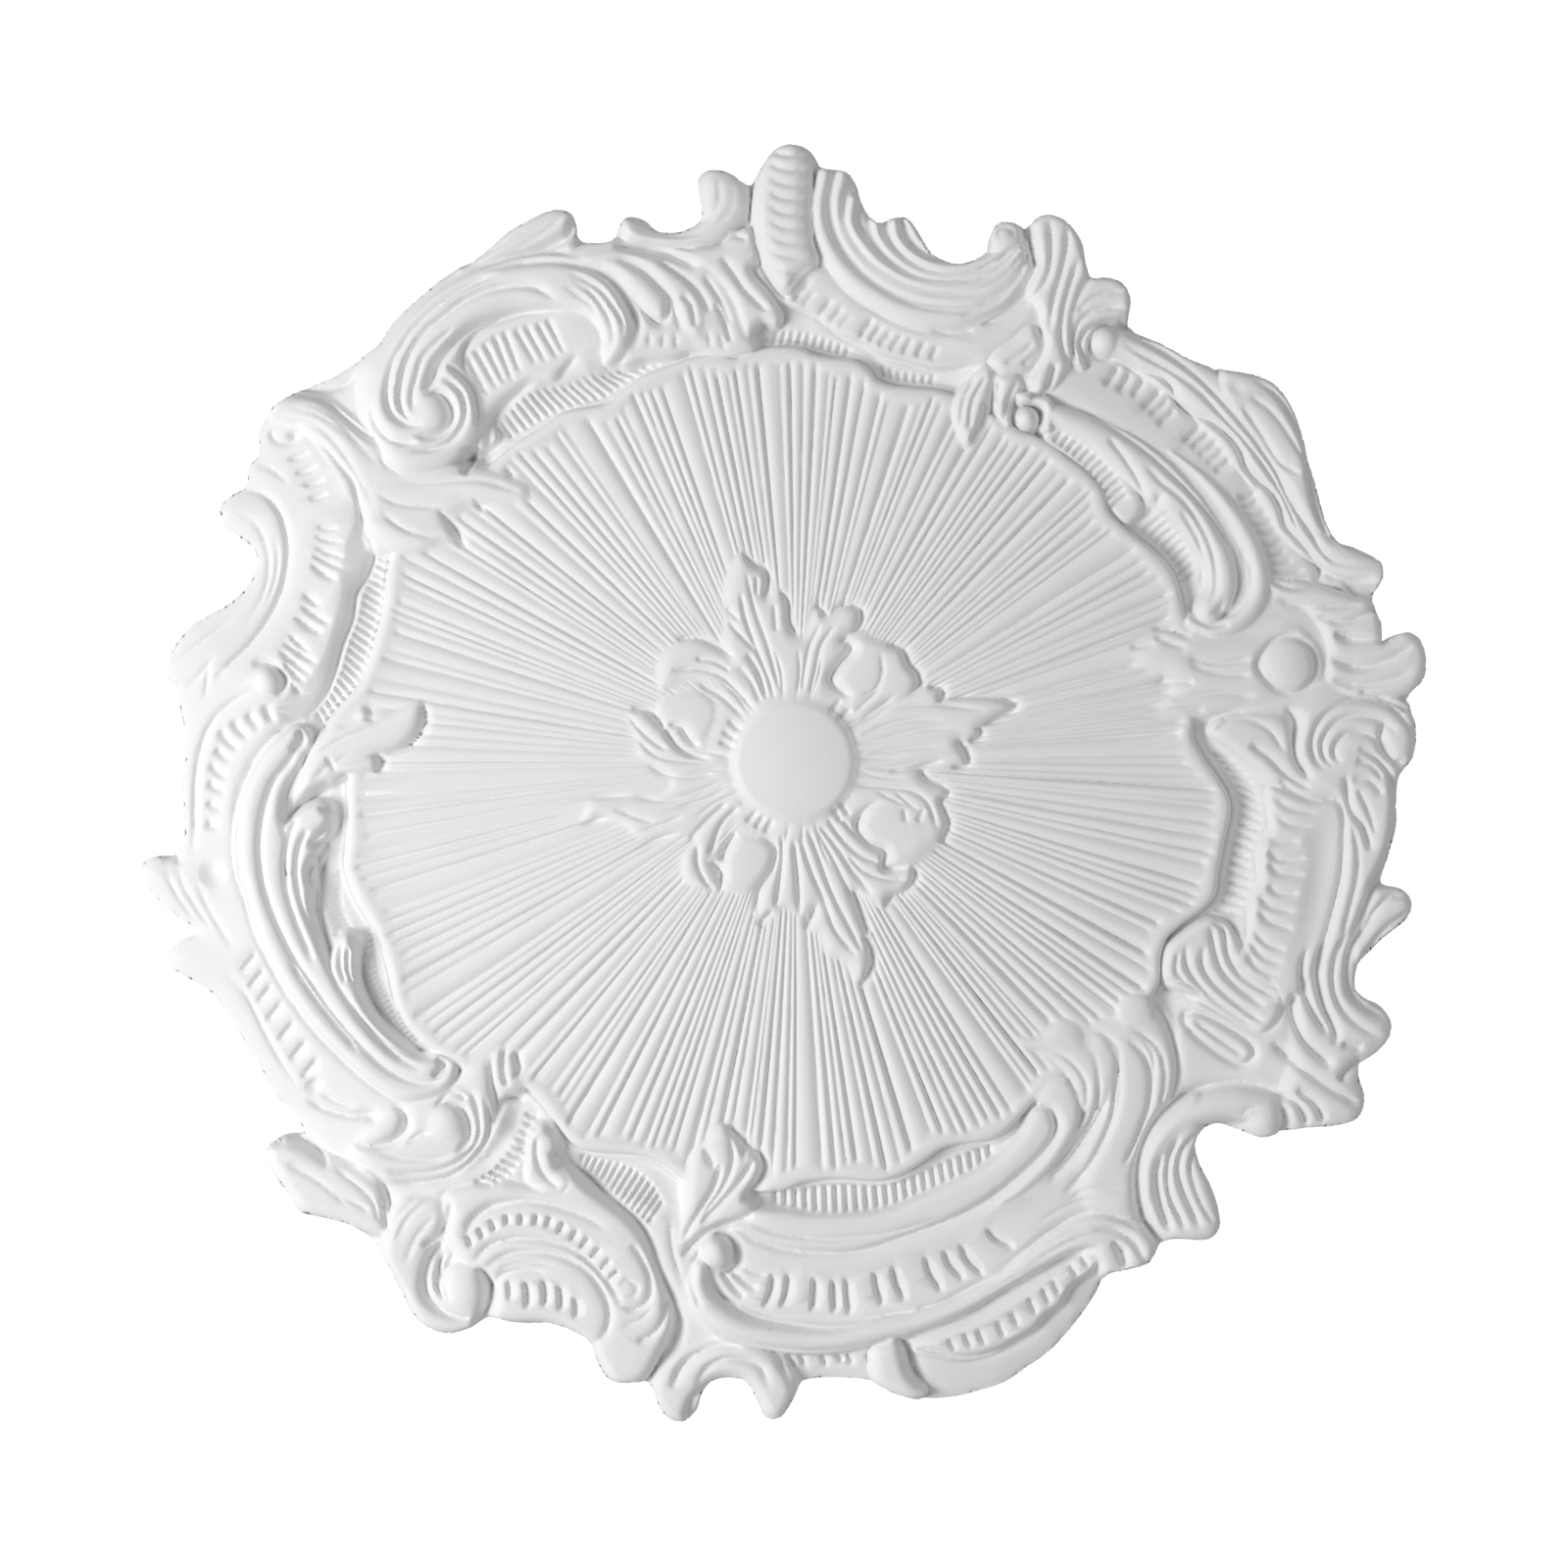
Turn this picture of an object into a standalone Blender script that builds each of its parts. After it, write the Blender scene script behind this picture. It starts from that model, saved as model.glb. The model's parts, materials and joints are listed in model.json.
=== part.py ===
"""Ceiling rose: one cast piece with a boss, a sunburst field and a frame of scrolls and leaves.

The flat back lies in the plane z = 0 against the ceiling, the boss is on the Z axis and the
carved front faces down. The plan is drawn as it is seen from below, +X to the right and +Y
towards the foot of the ornament, in parts of which DRAWN_WIDTH make up the full width.
"""
import math

import bmesh
import bpy
import numpy as np

# Sizes in metres, heights measured down from the ceiling
WIDTH = 0.657
BOSS_HEIGHT = 0.033
BOSS_RADIUS = 0.031
BOSS_BEVEL = 0.0035
FIELD_MIDDLE_HEIGHT = 0.027
FIELD_EDGE_HEIGHT = 0.023
RAY_DEPTH = 0.0018
LIP_WIDTH = 0.007
COVE_HEIGHT = 0.015
COVE_WIDTH = 0.020
FRAME_HEIGHT = 0.023
RIM_HEIGHT = 0.013
RIM_ROUNDING = 0.0065
SCROLL_HEIGHT = 0.031
LEAF_HEIGHT = 0.0295
SHELL_HEIGHT = 0.027
EDGE_LEAF_HEIGHT = 0.025
CROWN = 0.0045
BEAD_CROWN = 0.006
GROOVE_DEPTH = 0.0045
HOLLOW_DEPTH = 0.003

# Pattern of the rays, as widths that repeat round the field
RAY_WIDTHS = (2.3, 1.3, 1.2, 1.6, 1.1, 1.9, 1.2, 1.4)
RAY_REPEATS = 22

# Steepness of the carved sides, as fall over run, and how far they may run, in parts
SIDE_FALL = 2.5
SIDE_REACH = 6

# Frame: width of its slope and of the step beside the field, in parts, the share of the cove
# that is flat, and how fast the slope flattens
SLOPE_WIDTH = 45
STEP_WIDTH = 2.5
COVE_FLAT = 0.2
SLOPE_POWER = 0.7

# Share of a groove over which each of its ends fades
GROOVE_FADE = 0.12

# Fineness of the carving
DRAWN_WIDTH = 657.0
PART = WIDTH / DRAWN_WIDTH
PITCH = 1.0 * PART
HALF_SPAN = 345.0 * PART
SPOKES = 704
FIELD_RINGS = 46
FRAME_RINGS = 44
FRONT_TRIANGLES = 8200
PATH_STEP = 2.0
MERGE_DISTANCE = 0.00001
SHARP_ANGLE = math.radians(40)

PLASTER_WHITE = (0.86, 0.87, 0.88, 1.0)
PLASTER_ROUGHNESS = 0.75

OUTLINE = [
    (-84, -279), (-76, -277), (-63, -270), (-48, -276), (-49, -297), (-40, -302), (-25, -295),
    (-16, -304), (-3, -315), (4, -314), (15, -303), (28, -300), (34, -287), (44, -275),
    (56, -278), (70, -260), (84, -254), (99, -261), (105, -275), (119, -273), (132, -279),
    (147, -265), (152, -247), (168, -244), (171, -225), (190, -212), (220, -200), (236, -197),
    (254, -181), (263, -152), (272, -121), (278, -112), (299, -103), (297, -86), (297, -78),
    (301, -61), (314, -66), (323, -50), (315, -35), (318, -16), (309, 8), (308, 32), (301, 62),
    (315, 70), (306, 86), (295, 96), (287, 116), (300, 125), (304, 141), (289, 155), (292, 172),
    (276, 186), (240, 192), (216, 185), (205, 195), (213, 217), (217, 239), (211, 244),
    (192, 244), (181, 256), (160, 262), (147, 284), (120, 310), (93, 323), (65, 326), (42, 318),
    (12, 316), (-1, 327), (-7, 335), (-14, 335), (-24, 317), (-42, 317), (-50, 332), (-64, 335),
    (-72, 320), (-90, 317), (-101, 306), (-110, 292), (-133, 288), (-155, 284), (-177, 292),
    (-195, 281), (-209, 254), (-226, 237), (-252, 230), (-264, 213), (-269, 204), (-261, 192),
    (-252, 190), (-264, 172), (-284, 139), (-300, 117), (-319, 105), (-314, 92), (-305, 87),
    (-328, 68), (-334, 56), (-318, 48), (-313, 43), (-313, 5), (-313, -20), (-321, -43),
    (-316, -61), (-298, -76), (-280, -90), (-275, -104), (-292, -122), (-289, -136),
    (-279, -151), (-274, -168), (-259, -186), (-236, -197), (-212, -213), (-190, -238),
    (-160, -258), (-134, -277), (-113, -279), (-111, -269), (-93, -266),
]

FIELD_EDGE = [
    (-150, -155), (-128, -170), (-105, -180), (-85, -190), (-62, -202), (-30, -205), (-5, -211),
    (30, -204), (42, -194), (76, -188), (105, -174), (132, -160), (157, -137), (166, -121),
    (192, -97), (200, -68), (201, -35), (208, -2), (222, 24), (216, 55), (198, 82), (187, 100),
    (178, 125), (150, 150), (120, 176), (97, 193), (65, 204), (35, 213), (5, 214), (-18, 219),
    (-55, 213), (-80, 200), (-108, 197), (-138, 165), (-168, 158), (-197, 135), (-206, 105),
    (-228, 53), (-227, 5), (-238, -18), (-216, -50), (-207, -95), (-190, -128),
]


def smooth(knots, closed=False):
    """A rounded path through the knots, in metres, with a point about every path step."""
    knots = np.array(knots, float)
    if closed:
        ring = np.vstack((knots[-1:], knots, knots[:2]))
    else:
        ring = np.vstack((2 * knots[0] - knots[1], knots, 2 * knots[-1] - knots[-2]))
    spans = []
    for before, start, end, after in zip(ring, ring[1:], ring[2:], ring[3:]):
        chord = np.hypot(*(end - start))
        lead = np.hypot(*(start - before))
        trail = np.hypot(*(after - end))
        leave = (end - before) * chord / (chord + lead)
        arrive = (after - start) * chord / (chord + trail)
        count = max(math.ceil(chord / PATH_STEP), 1)
        t = np.arange(count)[:, None] / count
        spans.append(start * (2 * t**3 - 3 * t**2 + 1) + leave * (t**3 - 2 * t**2 + t)
                     + end * (3 * t**2 - 2 * t**3) + arrive * (t**3 - t**2))
    spans.append(knots[:1] if closed else knots[-1:])
    return np.vstack(spans) * PART


def radius_by_angle(knots):
    """Angles and radii of a closed edge that runs once round the axis."""
    path = smooth(knots, closed=True)
    angle = np.maximum.accumulate(np.unwrap(np.arctan2(path[:, 1], path[:, 0])))
    radius = np.hypot(path[:, 0], path[:, 1])
    turn = 2 * math.pi
    return np.concatenate((angle - turn, angle, angle + turn)), np.tile(radius, 3)


def ease(t):
    """A soft change from 0 to 1."""
    t = np.clip(t, 0.0, 1.0)
    return t * t * (3 - 2 * t)


class Carving:
    """Heights of the front over a square of plan, in metres."""

    def __init__(self):
        line = np.arange(-HALF_SPAN, HALF_SPAN + PITCH / 2, PITCH)
        self.x, self.y = np.meshgrid(line, line)
        self.form = np.zeros(self.x.shape)
        self.cuts = np.zeros(self.x.shape)

    def window(self, low, high, reach):
        """Rows and columns that hold a box and what lies within reach of it."""
        first = np.floor((low - reach + HALF_SPAN) / PITCH).astype(int)
        last = np.ceil((high + reach + HALF_SPAN) / PITCH).astype(int) + 1
        first = np.clip(first, 0, len(self.x))
        last = np.clip(last, 0, len(self.x))
        return slice(first[1], last[1]), slice(first[0], last[0])

    def near(self, path, reach):
        """Distance from a path, and the share of its length, in a window round it."""
        rows, cols = self.window(path.min(0), path.max(0), reach)
        distance = np.full(self.x[rows, cols].shape, reach)
        share = np.zeros(distance.shape)
        steps = np.hypot(*np.diff(path, axis=0).T)
        run = np.concatenate(([0.0], np.cumsum(steps)))
        for start, end, length, done in zip(path, path[1:], steps, run):
            r, c = self.window(np.minimum(start, end), np.maximum(start, end), reach)
            here = (slice(r.start - rows.start, r.stop - rows.start),
                    slice(c.start - cols.start, c.stop - cols.start))
            toward = (end - start) / length
            dx = self.x[r, c] - start[0]
            dy = self.y[r, c] - start[1]
            along = np.clip(dx * toward[0] + dy * toward[1], 0.0, length)
            away = np.hypot(dx - along * toward[0], dy - along * toward[1])
            closer = away < distance[here]
            distance[here] = np.where(closer, away, distance[here])
            share[here] = np.where(closer, (done + along) / run[-1], share[here])
        return rows, cols, distance, share

    def depth_inside(self, path, reach):
        """How far each place in the window lies inside a closed path, negative outside."""
        rows, cols, distance, _ = self.near(path, reach)
        x = self.x[rows, cols]
        y = self.y[rows, cols]
        inside = np.zeros(x.shape, bool)
        for (x0, y0), (x1, y1) in zip(path, path[1:]):
            if y0 != y1:
                level = (y[:, 0] >= min(y0, y1)) & (y[:, 0] < max(y0, y1))
                crossing = x0 + (x1 - x0) * (y[level] - y0) / (y1 - y0)
                inside[level] ^= x[level] < crossing
        return rows, cols, np.where(inside, distance, -distance)

    def raise_to(self, rows, cols, height):
        self.form[rows, cols] = np.maximum(self.form[rows, cols], height)

    def band(self, knots, half_width, top, drop=CROWN):
        """A raised rounded band along a path, its half width in parts."""
        half_width = np.atleast_1d(half_width) * PART
        reach = half_width.max() + SIDE_REACH * PART
        rows, cols, distance, share = self.near(smooth(knots), reach)
        half = np.interp(share, np.linspace(0, 1, len(half_width)), half_width)
        beyond = np.clip(distance - half, 0, None)
        crown = drop * np.clip(distance / half, 0, 1)**2
        self.raise_to(rows, cols, top - crown - SIDE_FALL * beyond)

    def pad(self, knots, top, edge=7, drop=CROWN):
        """A raised shape with a rounded edge, its edge in parts."""
        reach = (edge + SIDE_REACH) * PART
        rows, cols, depth = self.depth_inside(smooth(knots, closed=True), reach)
        crown = drop * (1 - np.clip(depth / (edge * PART), 0, 1))**2
        self.raise_to(rows, cols, top - crown + SIDE_FALL * np.clip(depth, None, 0))

    def bead(self, x, y, radius, top, drop=BEAD_CROWN):
        """A raised ball end."""
        middle = np.array((x, y)) * PART
        radius = radius * PART
        rows, cols = self.window(middle, middle, radius + SIDE_REACH * PART)
        away = np.hypot(self.x[rows, cols] - middle[0], self.y[rows, cols] - middle[1])
        crown = drop * np.clip(away / radius, 0, 1)**2
        self.raise_to(rows, cols, top - crown - SIDE_FALL * np.clip(away - radius, 0, None))

    def groove(self, knots, half_width=4.0, depth=GROOVE_DEPTH):
        """A creased cut along a path, fading at its ends."""
        rows, cols, distance, share = self.near(smooth(knots), half_width * PART)
        across = np.clip(1 - distance / (half_width * PART), 0, 1)
        ends = np.clip(np.minimum(share, 1 - share) / GROOVE_FADE, 0, 1)
        self.cuts[rows, cols] = np.maximum(self.cuts[rows, cols], depth * across**1.5 * ends)


def carve_ground(carving, field_edge, outline):
    """The domed field with its rays and lip, the cove round it and the sloping frame."""
    radius = np.hypot(carving.x, carving.y)
    angle = np.arctan2(carving.y, carving.x)
    edge = np.interp(angle, *field_edge)
    beyond = radius - edge
    pattern = np.array(RAY_WIDTHS * RAY_REPEATS)
    bounds = np.concatenate(([0.0], np.cumsum(pattern))) * 2 * math.pi / pattern.sum() - math.pi
    place = np.clip(np.searchsorted(bounds, angle, side="right") - 1, 0, pattern.size - 1)
    share = (angle - bounds[place]) / (bounds[place + 1] - bounds[place])
    hollow = RAY_DEPTH * (1 - np.sin(math.pi * np.clip(share, 0, 1)))
    reach = ease((-beyond - LIP_WIDTH) / LIP_WIDTH) * np.clip(radius / edge, 0, 1)
    dome = FIELD_MIDDLE_HEIGHT + (FIELD_EDGE_HEIGHT - FIELD_MIDDLE_HEIGHT) * (radius / edge)**2
    field = dome - hollow * reach
    slope_width = SLOPE_WIDTH * PART
    depth = np.full(radius.shape, -slope_width)
    rows, cols, inside = carving.depth_inside(smooth(outline, closed=True), slope_width)
    depth[rows, cols] = inside
    cove = COVE_HEIGHT + (FRAME_HEIGHT - COVE_HEIGHT) * np.clip(beyond / COVE_WIDTH - COVE_FLAT, 0, 1)
    slope = RIM_HEIGHT + (FRAME_HEIGHT - RIM_HEIGHT) * np.clip(depth / slope_width, 0, 1)**SLOPE_POWER
    step = ease(beyond / (STEP_WIDTH * PART))
    carving.form = field * (1 - step) + np.minimum(cove, slope) * step
    return depth


def carve_leaves_round_boss(carving):
    for knots in (
            [(-27, -107), (-14, -94), (-2, -74), (16, -75), (33, -74), (29, -56), (22, -36), (0, -20),
             (-24, -32), (-36, -54), (-30, -80)],
            [(40, -46), (50, -58), (62, -40), (75, -33), (100, -33), (113, -27), (94, -15), (86, 0),
             (68, 6), (78, 20), (78, 40), (56, 36), (26, 12), (30, -20)],
            [(24, 24), (44, 46), (62, 56), (46, 73), (34, 70), (37, 90), (33, 117), (24, 94),
             (10, 80), (-10, 80), (-16, 56), (0, 24)],
            [(-28, 26), (-42, 52), (-56, 52), (-56, 32), (-80, 24), (-106, 30), (-80, 14), (-70, 0),
             (-86, -24), (-58, -16), (-30, -10), (-20, 10)],
            [(-34, -20), (-50, -38), (-68, -55), (-48, -62), (-26, -42), (-20, -28)],
            [(26, -38), (28, -52), (42, -55), (44, -40), (34, -31)],
            [(36, 40), (36, 26), (58, 26), (64, 42), (48, 52)],
            [(-33, 42), (-18, 44), (-18, 60), (-34, 62)],
            [(-66, -28), (-54, -39), (-44, -28), (-54, -17)]):
        carving.pad(knots, LEAF_HEIGHT, 6)


def carve_top(carving):
    """Crest, its torn leaf, the shell on its right and the curled leaf beyond."""
    carving.pad([(-19, -299), (-3, -315), (12, -304), (11, -285), (12, -256), (-4, -248),
                 (-20, -262)], SCROLL_HEIGHT, 11, 0.007)
    carving.pad([(-49, -300), (-32, -300), (-21, -284), (-17, -256), (-5, -226), (-26, -226),
                 (-50, -250), (-84, -266), (-70, -272), (-47, -276)], SHELL_HEIGHT)
    carving.groove([(-19, -298), (-20, -268), (-14, -240), (-6, -224)])
    carving.groove([(13, -300), (10, -270), (13, -252)])
    carving.groove([(-44, -297), (-32, -272), (-15, -232)])
    carving.groove([(-75, -262), (-50, -252), (-35, -240), (-27, -220)])
    carving.pad([(13, -302), (28, -300), (40, -278), (58, -276), (76, -257), (92, -257), (103, -273),
                 (122, -268), (118, -250), (88, -233), (52, -234), (22, -256)], SHELL_HEIGHT)
    carving.groove([(20, -290), (24, -262), (45, -241), (76, -233), (100, -240), (119, -257)])
    carving.groove([(36, -280), (47, -250), (76, -240), (103, -245), (115, -262)])
    carving.groove([(12, -252), (28, -241), (50, -226), (75, -220)])
    carving.bead(108, -268, 7, LEAF_HEIGHT)
    carving.pad([(124, -276), (141, -274), (150, -252), (141, -226), (143, -208), (122, -186),
                 (121, -214), (124, -252)], LEAF_HEIGHT, 8)
    carving.groove([(120, -272), (122, -256)])
    carving.groove([(139, -272), (137, -250), (129, -215)])
    carving.pad([(150, -246), (169, -243), (171, -224), (164, -204), (144, -206), (144, -230)],
                SHELL_HEIGHT)
    carving.bead(157, -214, 8, LEAF_HEIGHT)
    carving.pad([(92, -208), (104, -200), (100, -176), (87, -160), (87, -186)], LEAF_HEIGHT)
    carving.bead(120, -177, 7, LEAF_HEIGHT)


def carve_right(carving):
    """Shoulder band and scroll, the eye with its leaf and shell, and the whirl under it."""
    carving.band([(150, -200), (185, -180), (212, -158), (235, -128), (252, -104), (262, -84)],
                 (8, 15), SHELL_HEIGHT)
    carving.groove([(166, -206), (196, -192), (220, -167), (238, -142), (257, -112), (272, -93)])
    carving.pad([(222, -199), (248, -190), (262, -158), (266, -138), (244, -150), (216, -186)],
                SHELL_HEIGHT, 9)
    carving.band([(132, -176), (170, -156), (204, -124), (220, -94), (216, -80)], (8, 11, 9, 5),
                 SCROLL_HEIGHT)
    carving.groove([(132, -183), (170, -164), (208, -133), (226, -103), (224, -80)])
    carving.groove([(238, -105), (237, -80), (222, -64)])
    carving.pad([(184, -66), (170, -55), (188, -42), (186, -26), (222, -24), (240, -36), (236, -62),
                 (206, -71)], LEAF_HEIGHT)
    carving.bead(252, -49, 13.5, SCROLL_HEIGHT)
    carving.pad([(262, -66), (276, -80), (297, -78), (302, -62), (320, -62), (323, -48), (306, -30),
                 (272, -36)], SHELL_HEIGHT)
    carving.pad([(268, -28), (312, -30), (316, -8), (300, 18), (270, 24), (254, 0)], SHELL_HEIGHT, 9)
    carving.groove([(316, -25), (290, -30), (264, -18), (263, 0), (272, 8)])
    carving.bead(277, 3, 7, LEAF_HEIGHT)
    carving.groove([(277, 28), (277, 60), (268, 100), (269, 120), (276, 140)])
    carving.band([(285, -5), (292, 20), (297, 60)], (5, 8), EDGE_LEAF_HEIGHT)
    carving.band([(282, 66), (276, 100), (282, 130), (294, 138)], (8, 10, 9), SHELL_HEIGHT)
    carving.pad([(290, 66), (312, 66), (306, 86), (288, 92)], EDGE_LEAF_HEIGHT)
    carving.groove([(312, 76), (300, 86), (286, 104), (282, 118)])
    carving.groove([(254, 118), (255, 130), (268, 153), (278, 160)])
    carving.band([(210, 92), (215, 110), (226, 126), (244, 138)], 9, SHELL_HEIGHT)
    carving.band([(205, 133), (228, 149)], 7, LEAF_HEIGHT)
    carving.groove([(245, 143), (265, 162), (290, 175)])
    carving.band([(193, 186), (205, 177), (240, 177), (256, 182)], (7, 9, 8), LEAF_HEIGHT)
    carving.groove([(193, 179), (217, 168), (243, 169), (256, 178)])
    carving.bead(240, 182, 8, SCROLL_HEIGHT)
    carving.pad([(254, 172), (290, 174), (272, 187), (256, 186)], EDGE_LEAF_HEIGHT)


def carve_foot(carving):
    """Scroll and leaf at the lower right, corner fan, and the scroll and arch at the foot."""
    carving.band([(183, 120), (196, 152), (196, 172)], (6, 8, 6), LEAF_HEIGHT)
    carving.bead(173, 128, 7, LEAF_HEIGHT)
    carving.band([(41, 246), (86, 230), (124, 203), (132, 188), (130, 172)], (7, 10, 9, 7),
                 SCROLL_HEIGHT)
    carving.pad([(120, 146), (160, 132), (188, 140), (180, 186), (150, 218), (132, 218), (146, 184)],
                LEAF_HEIGHT, 8)
    carving.groove([(120, 146), (147, 158), (151, 183), (130, 214)])
    carving.groove([(163, 146), (164, 178), (148, 211)])
    carving.band([(103, 262), (120, 250), (152, 234), (180, 242)], (6, 9, 8), SHELL_HEIGHT)
    carving.groove([(60, 291), (95, 279), (125, 260), (155, 248)])
    carving.band([(201, 172), (186, 186), (176, 206), (184, 240)], (5, 8, 8), SHELL_HEIGHT)
    carving.groove([(201, 171), (181, 193), (174, 222), (187, 247)])
    carving.groove([(187, 200), (184, 222), (191, 240)])
    carving.groove([(206, 187), (194, 208), (207, 238)])
    carving.pad([(63, 298), (100, 279), (140, 254), (157, 252), (140, 276), (98, 304)],
                EDGE_LEAF_HEIGHT)
    carving.groove([(156, 257), (137, 278), (112, 297), (84, 304)])
    carving.pad([(-57, 246), (-46, 196), (-34, 184), (-17, 204), (-24, 226), (-44, 248)], LEAF_HEIGHT)
    carving.band([(-38, 250), (-48, 264), (-38, 281), (0, 293), (45, 291), (60, 288)], (8, 8, 6),
                 SCROLL_HEIGHT)
    carving.bead(-38, 252, 9, SCROLL_HEIGHT)
    carving.groove([(-41, 262), (-30, 278), (5, 288), (45, 283), (68, 279)])
    carving.band([(-30, 240), (10, 251), (50, 248), (76, 239)], 5, SHELL_HEIGHT)
    carving.groove([(-30, 262), (10, 271), (50, 268), (90, 254)], 11, HOLLOW_DEPTH)
    carving.pad([(-70, 328), (-66, 306), (-34, 294), (-4, 308), (0, 328), (-12, 336), (-22, 320),
                 (-44, 318), (-57, 337)], EDGE_LEAF_HEIGHT)
    carving.groove([(-62, 326), (-55, 307), (-33, 299), (-12, 303), (-4, 322)])
    carving.pad([(40, 300), (52, 296), (66, 321), (48, 322)], EDGE_LEAF_HEIGHT)
    carving.groove([(52, 294), (59, 306), (67, 321)])


def carve_lower_left(carving):
    """Shell at the lower left, the bead and leaf beside it and the long scroll above."""
    carving.groove([(-117, 201), (-90, 226), (-68, 260), (-61, 284), (-74, 313)])
    carving.pad([(-166, 240), (-132, 222), (-92, 240), (-68, 268), (-72, 302), (-94, 311),
                 (-110, 288), (-172, 276)], SHELL_HEIGHT, 9)
    carving.groove([(-166, 240), (-150, 226), (-125, 224), (-95, 238)])
    carving.groove([(-158, 258), (-137, 251), (-110, 256), (-94, 279), (-100, 294)])
    carving.groove([(-130, 270), (-128, 282)], 8, HOLLOW_DEPTH)
    carving.bead(-167, 267, 11, LEAF_HEIGHT)
    carving.bead(-82, 272, 6, LEAF_HEIGHT)
    carving.pad([(-150, 150), (-136, 162), (-148, 184), (-160, 168)], LEAF_HEIGHT)
    carving.band([(-184, 161), (-168, 178), (-176, 204), (-204, 208)], (5, 7, 5), LEAF_HEIGHT)
    carving.bead(-178, 185, 10, SCROLL_HEIGHT)
    carving.groove([(-172, 176), (-166, 192), (-195, 208), (-212, 208)])
    carving.groove([(-203, 177), (-200, 190), (-230, 195)])
    carving.pad([(-252, 230), (-269, 204), (-256, 194), (-212, 214), (-206, 244), (-236, 232)],
                EDGE_LEAF_HEIGHT)
    carving.groove([(-250, 197), (-226, 205), (-208, 226), (-206, 240)])
    carving.band([(-262, 30), (-256, 84), (-232, 128), (-196, 160), (-182, 160)],
                 (10, 14, 14, 9, 5), SCROLL_HEIGHT)
    carving.groove([(-281, 30), (-278, 72), (-264, 107), (-230, 150), (-200, 174)])
    carving.groove([(-271, 35), (-267, 72), (-247, 112), (-208, 156), (-178, 162)])
    carving.groove([(-243, 53), (-240, 97), (-222, 130), (-190, 156)])


def carve_left(carving):
    """Scroll and leaf at the left, the ribbed hollow above and the leaf into the field."""
    carving.band([(-250, -12), (-272, 12), (-275, 36), (-270, 70)], (5, 10, 9), SCROLL_HEIGHT)
    carving.groove([(-255, -17), (-275, -2), (-283, 30), (-281, 52)])
    carving.pad([(-245, -13), (-213, -28), (-190, -30), (-190, -17), (-212, 0), (-236, 26),
                 (-250, 12)], LEAF_HEIGHT)
    carving.groove([(-243, 22), (-246, 34), (-244, 48)])
    carving.bead(-267, -41, 7, LEAF_HEIGHT)
    carving.groove([(-296, 57), (-293, 58)], 7, HOLLOW_DEPTH)
    carving.groove([(-281, -140), (-263, -128), (-258, -105), (-268, -75), (-298, -40)])
    carving.groove([(-254, -163), (-234, -152), (-217, -112), (-229, -65), (-256, -15)])
    carving.groove([(-250, -150), (-236, -110), (-246, -66), (-254, -44)], 11, HOLLOW_DEPTH)
    carving.groove([(-257, -186), (-235, -183), (-215, -167), (-195, -162)])
    carving.pad([(-215, -140), (-180, -144), (-133, -137), (-162, -128), (-170, -111),
                 (-212, -110)], LEAF_HEIGHT)
    carving.groove([(-322, 54), (-304, 84)], 3, HOLLOW_DEPTH)
    carving.groove([(-312, 100), (-288, 110)], 3, HOLLOW_DEPTH)


def carve_upper_left(carving):
    """Great scroll with its volute, and the leaf lobes that hang from it."""
    carving.band([(-90, -222), (-92, -236), (-124, -250), (-168, -235), (-196, -202), (-188, -178)],
                 (6, 10, 12, 12, 9, 8), SCROLL_HEIGHT)
    carving.groove([(-190, -170), (-207, -190), (-195, -222), (-165, -242), (-130, -250)])
    carving.groove([(-165, -251), (-125, -256), (-90, -238), (-82, -218), (-93, -200)])
    carving.groove([(-184, -190), (-178, -204), (-155, -223), (-122, -231)])
    carving.groove([(-160, -200), (-140, -210), (-122, -216)], 10, HOLLOW_DEPTH)
    carving.bead(-187, -180, 9, SCROLL_HEIGHT)
    carving.groove([(-180, -202), (-165, -190), (-166, -165)])
    carving.pad([(-122, -281), (-160, -259), (-126, -264), (-112, -278)], EDGE_LEAF_HEIGHT, 5)
    for x, y in ((-105, -218), (-90, -212), (-70, -224), (-50, -216)):
        carving.bead(x, y - 5, 9, SHELL_HEIGHT)


def carve_boss(carving):
    """Plain round boss with a bevelled edge, over the roots of its leaves."""
    radius = np.hypot(carving.x, carving.y)
    bevel = BOSS_BEVEL * np.clip(1 - (BOSS_RADIUS - radius) / BOSS_BEVEL, 0, 1)
    fall = SIDE_FALL * np.clip(radius - BOSS_RADIUS, 0, None)
    carving.form = np.maximum(carving.form, BOSS_HEIGHT - bevel - fall)
    carving.cuts[radius < BOSS_RADIUS + PITCH] = 0.0


def carve():
    """Heights of the whole front, with the outer edge rounded over."""
    carving = Carving()
    depth = carve_ground(carving, radius_by_angle(FIELD_EDGE), OUTLINE)
    carve_leaves_round_boss(carving)
    carve_top(carving)
    carve_right(carving)
    carve_foot(carving)
    carve_lower_left(carving)
    carve_left(carving)
    carve_upper_left(carving)
    carve_boss(carving)
    height = carving.form - carving.cuts
    rounded = np.clip(depth / RIM_ROUNDING, 0, 1)
    rim_edge = RIM_HEIGHT - RIM_ROUNDING / 2
    limit = rim_edge + (SCROLL_HEIGHT - rim_edge) * np.sqrt(1 - (1 - rounded)**2)
    return np.clip(height, rim_edge, np.where(rounded < 1, limit, BOSS_HEIGHT))


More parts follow.
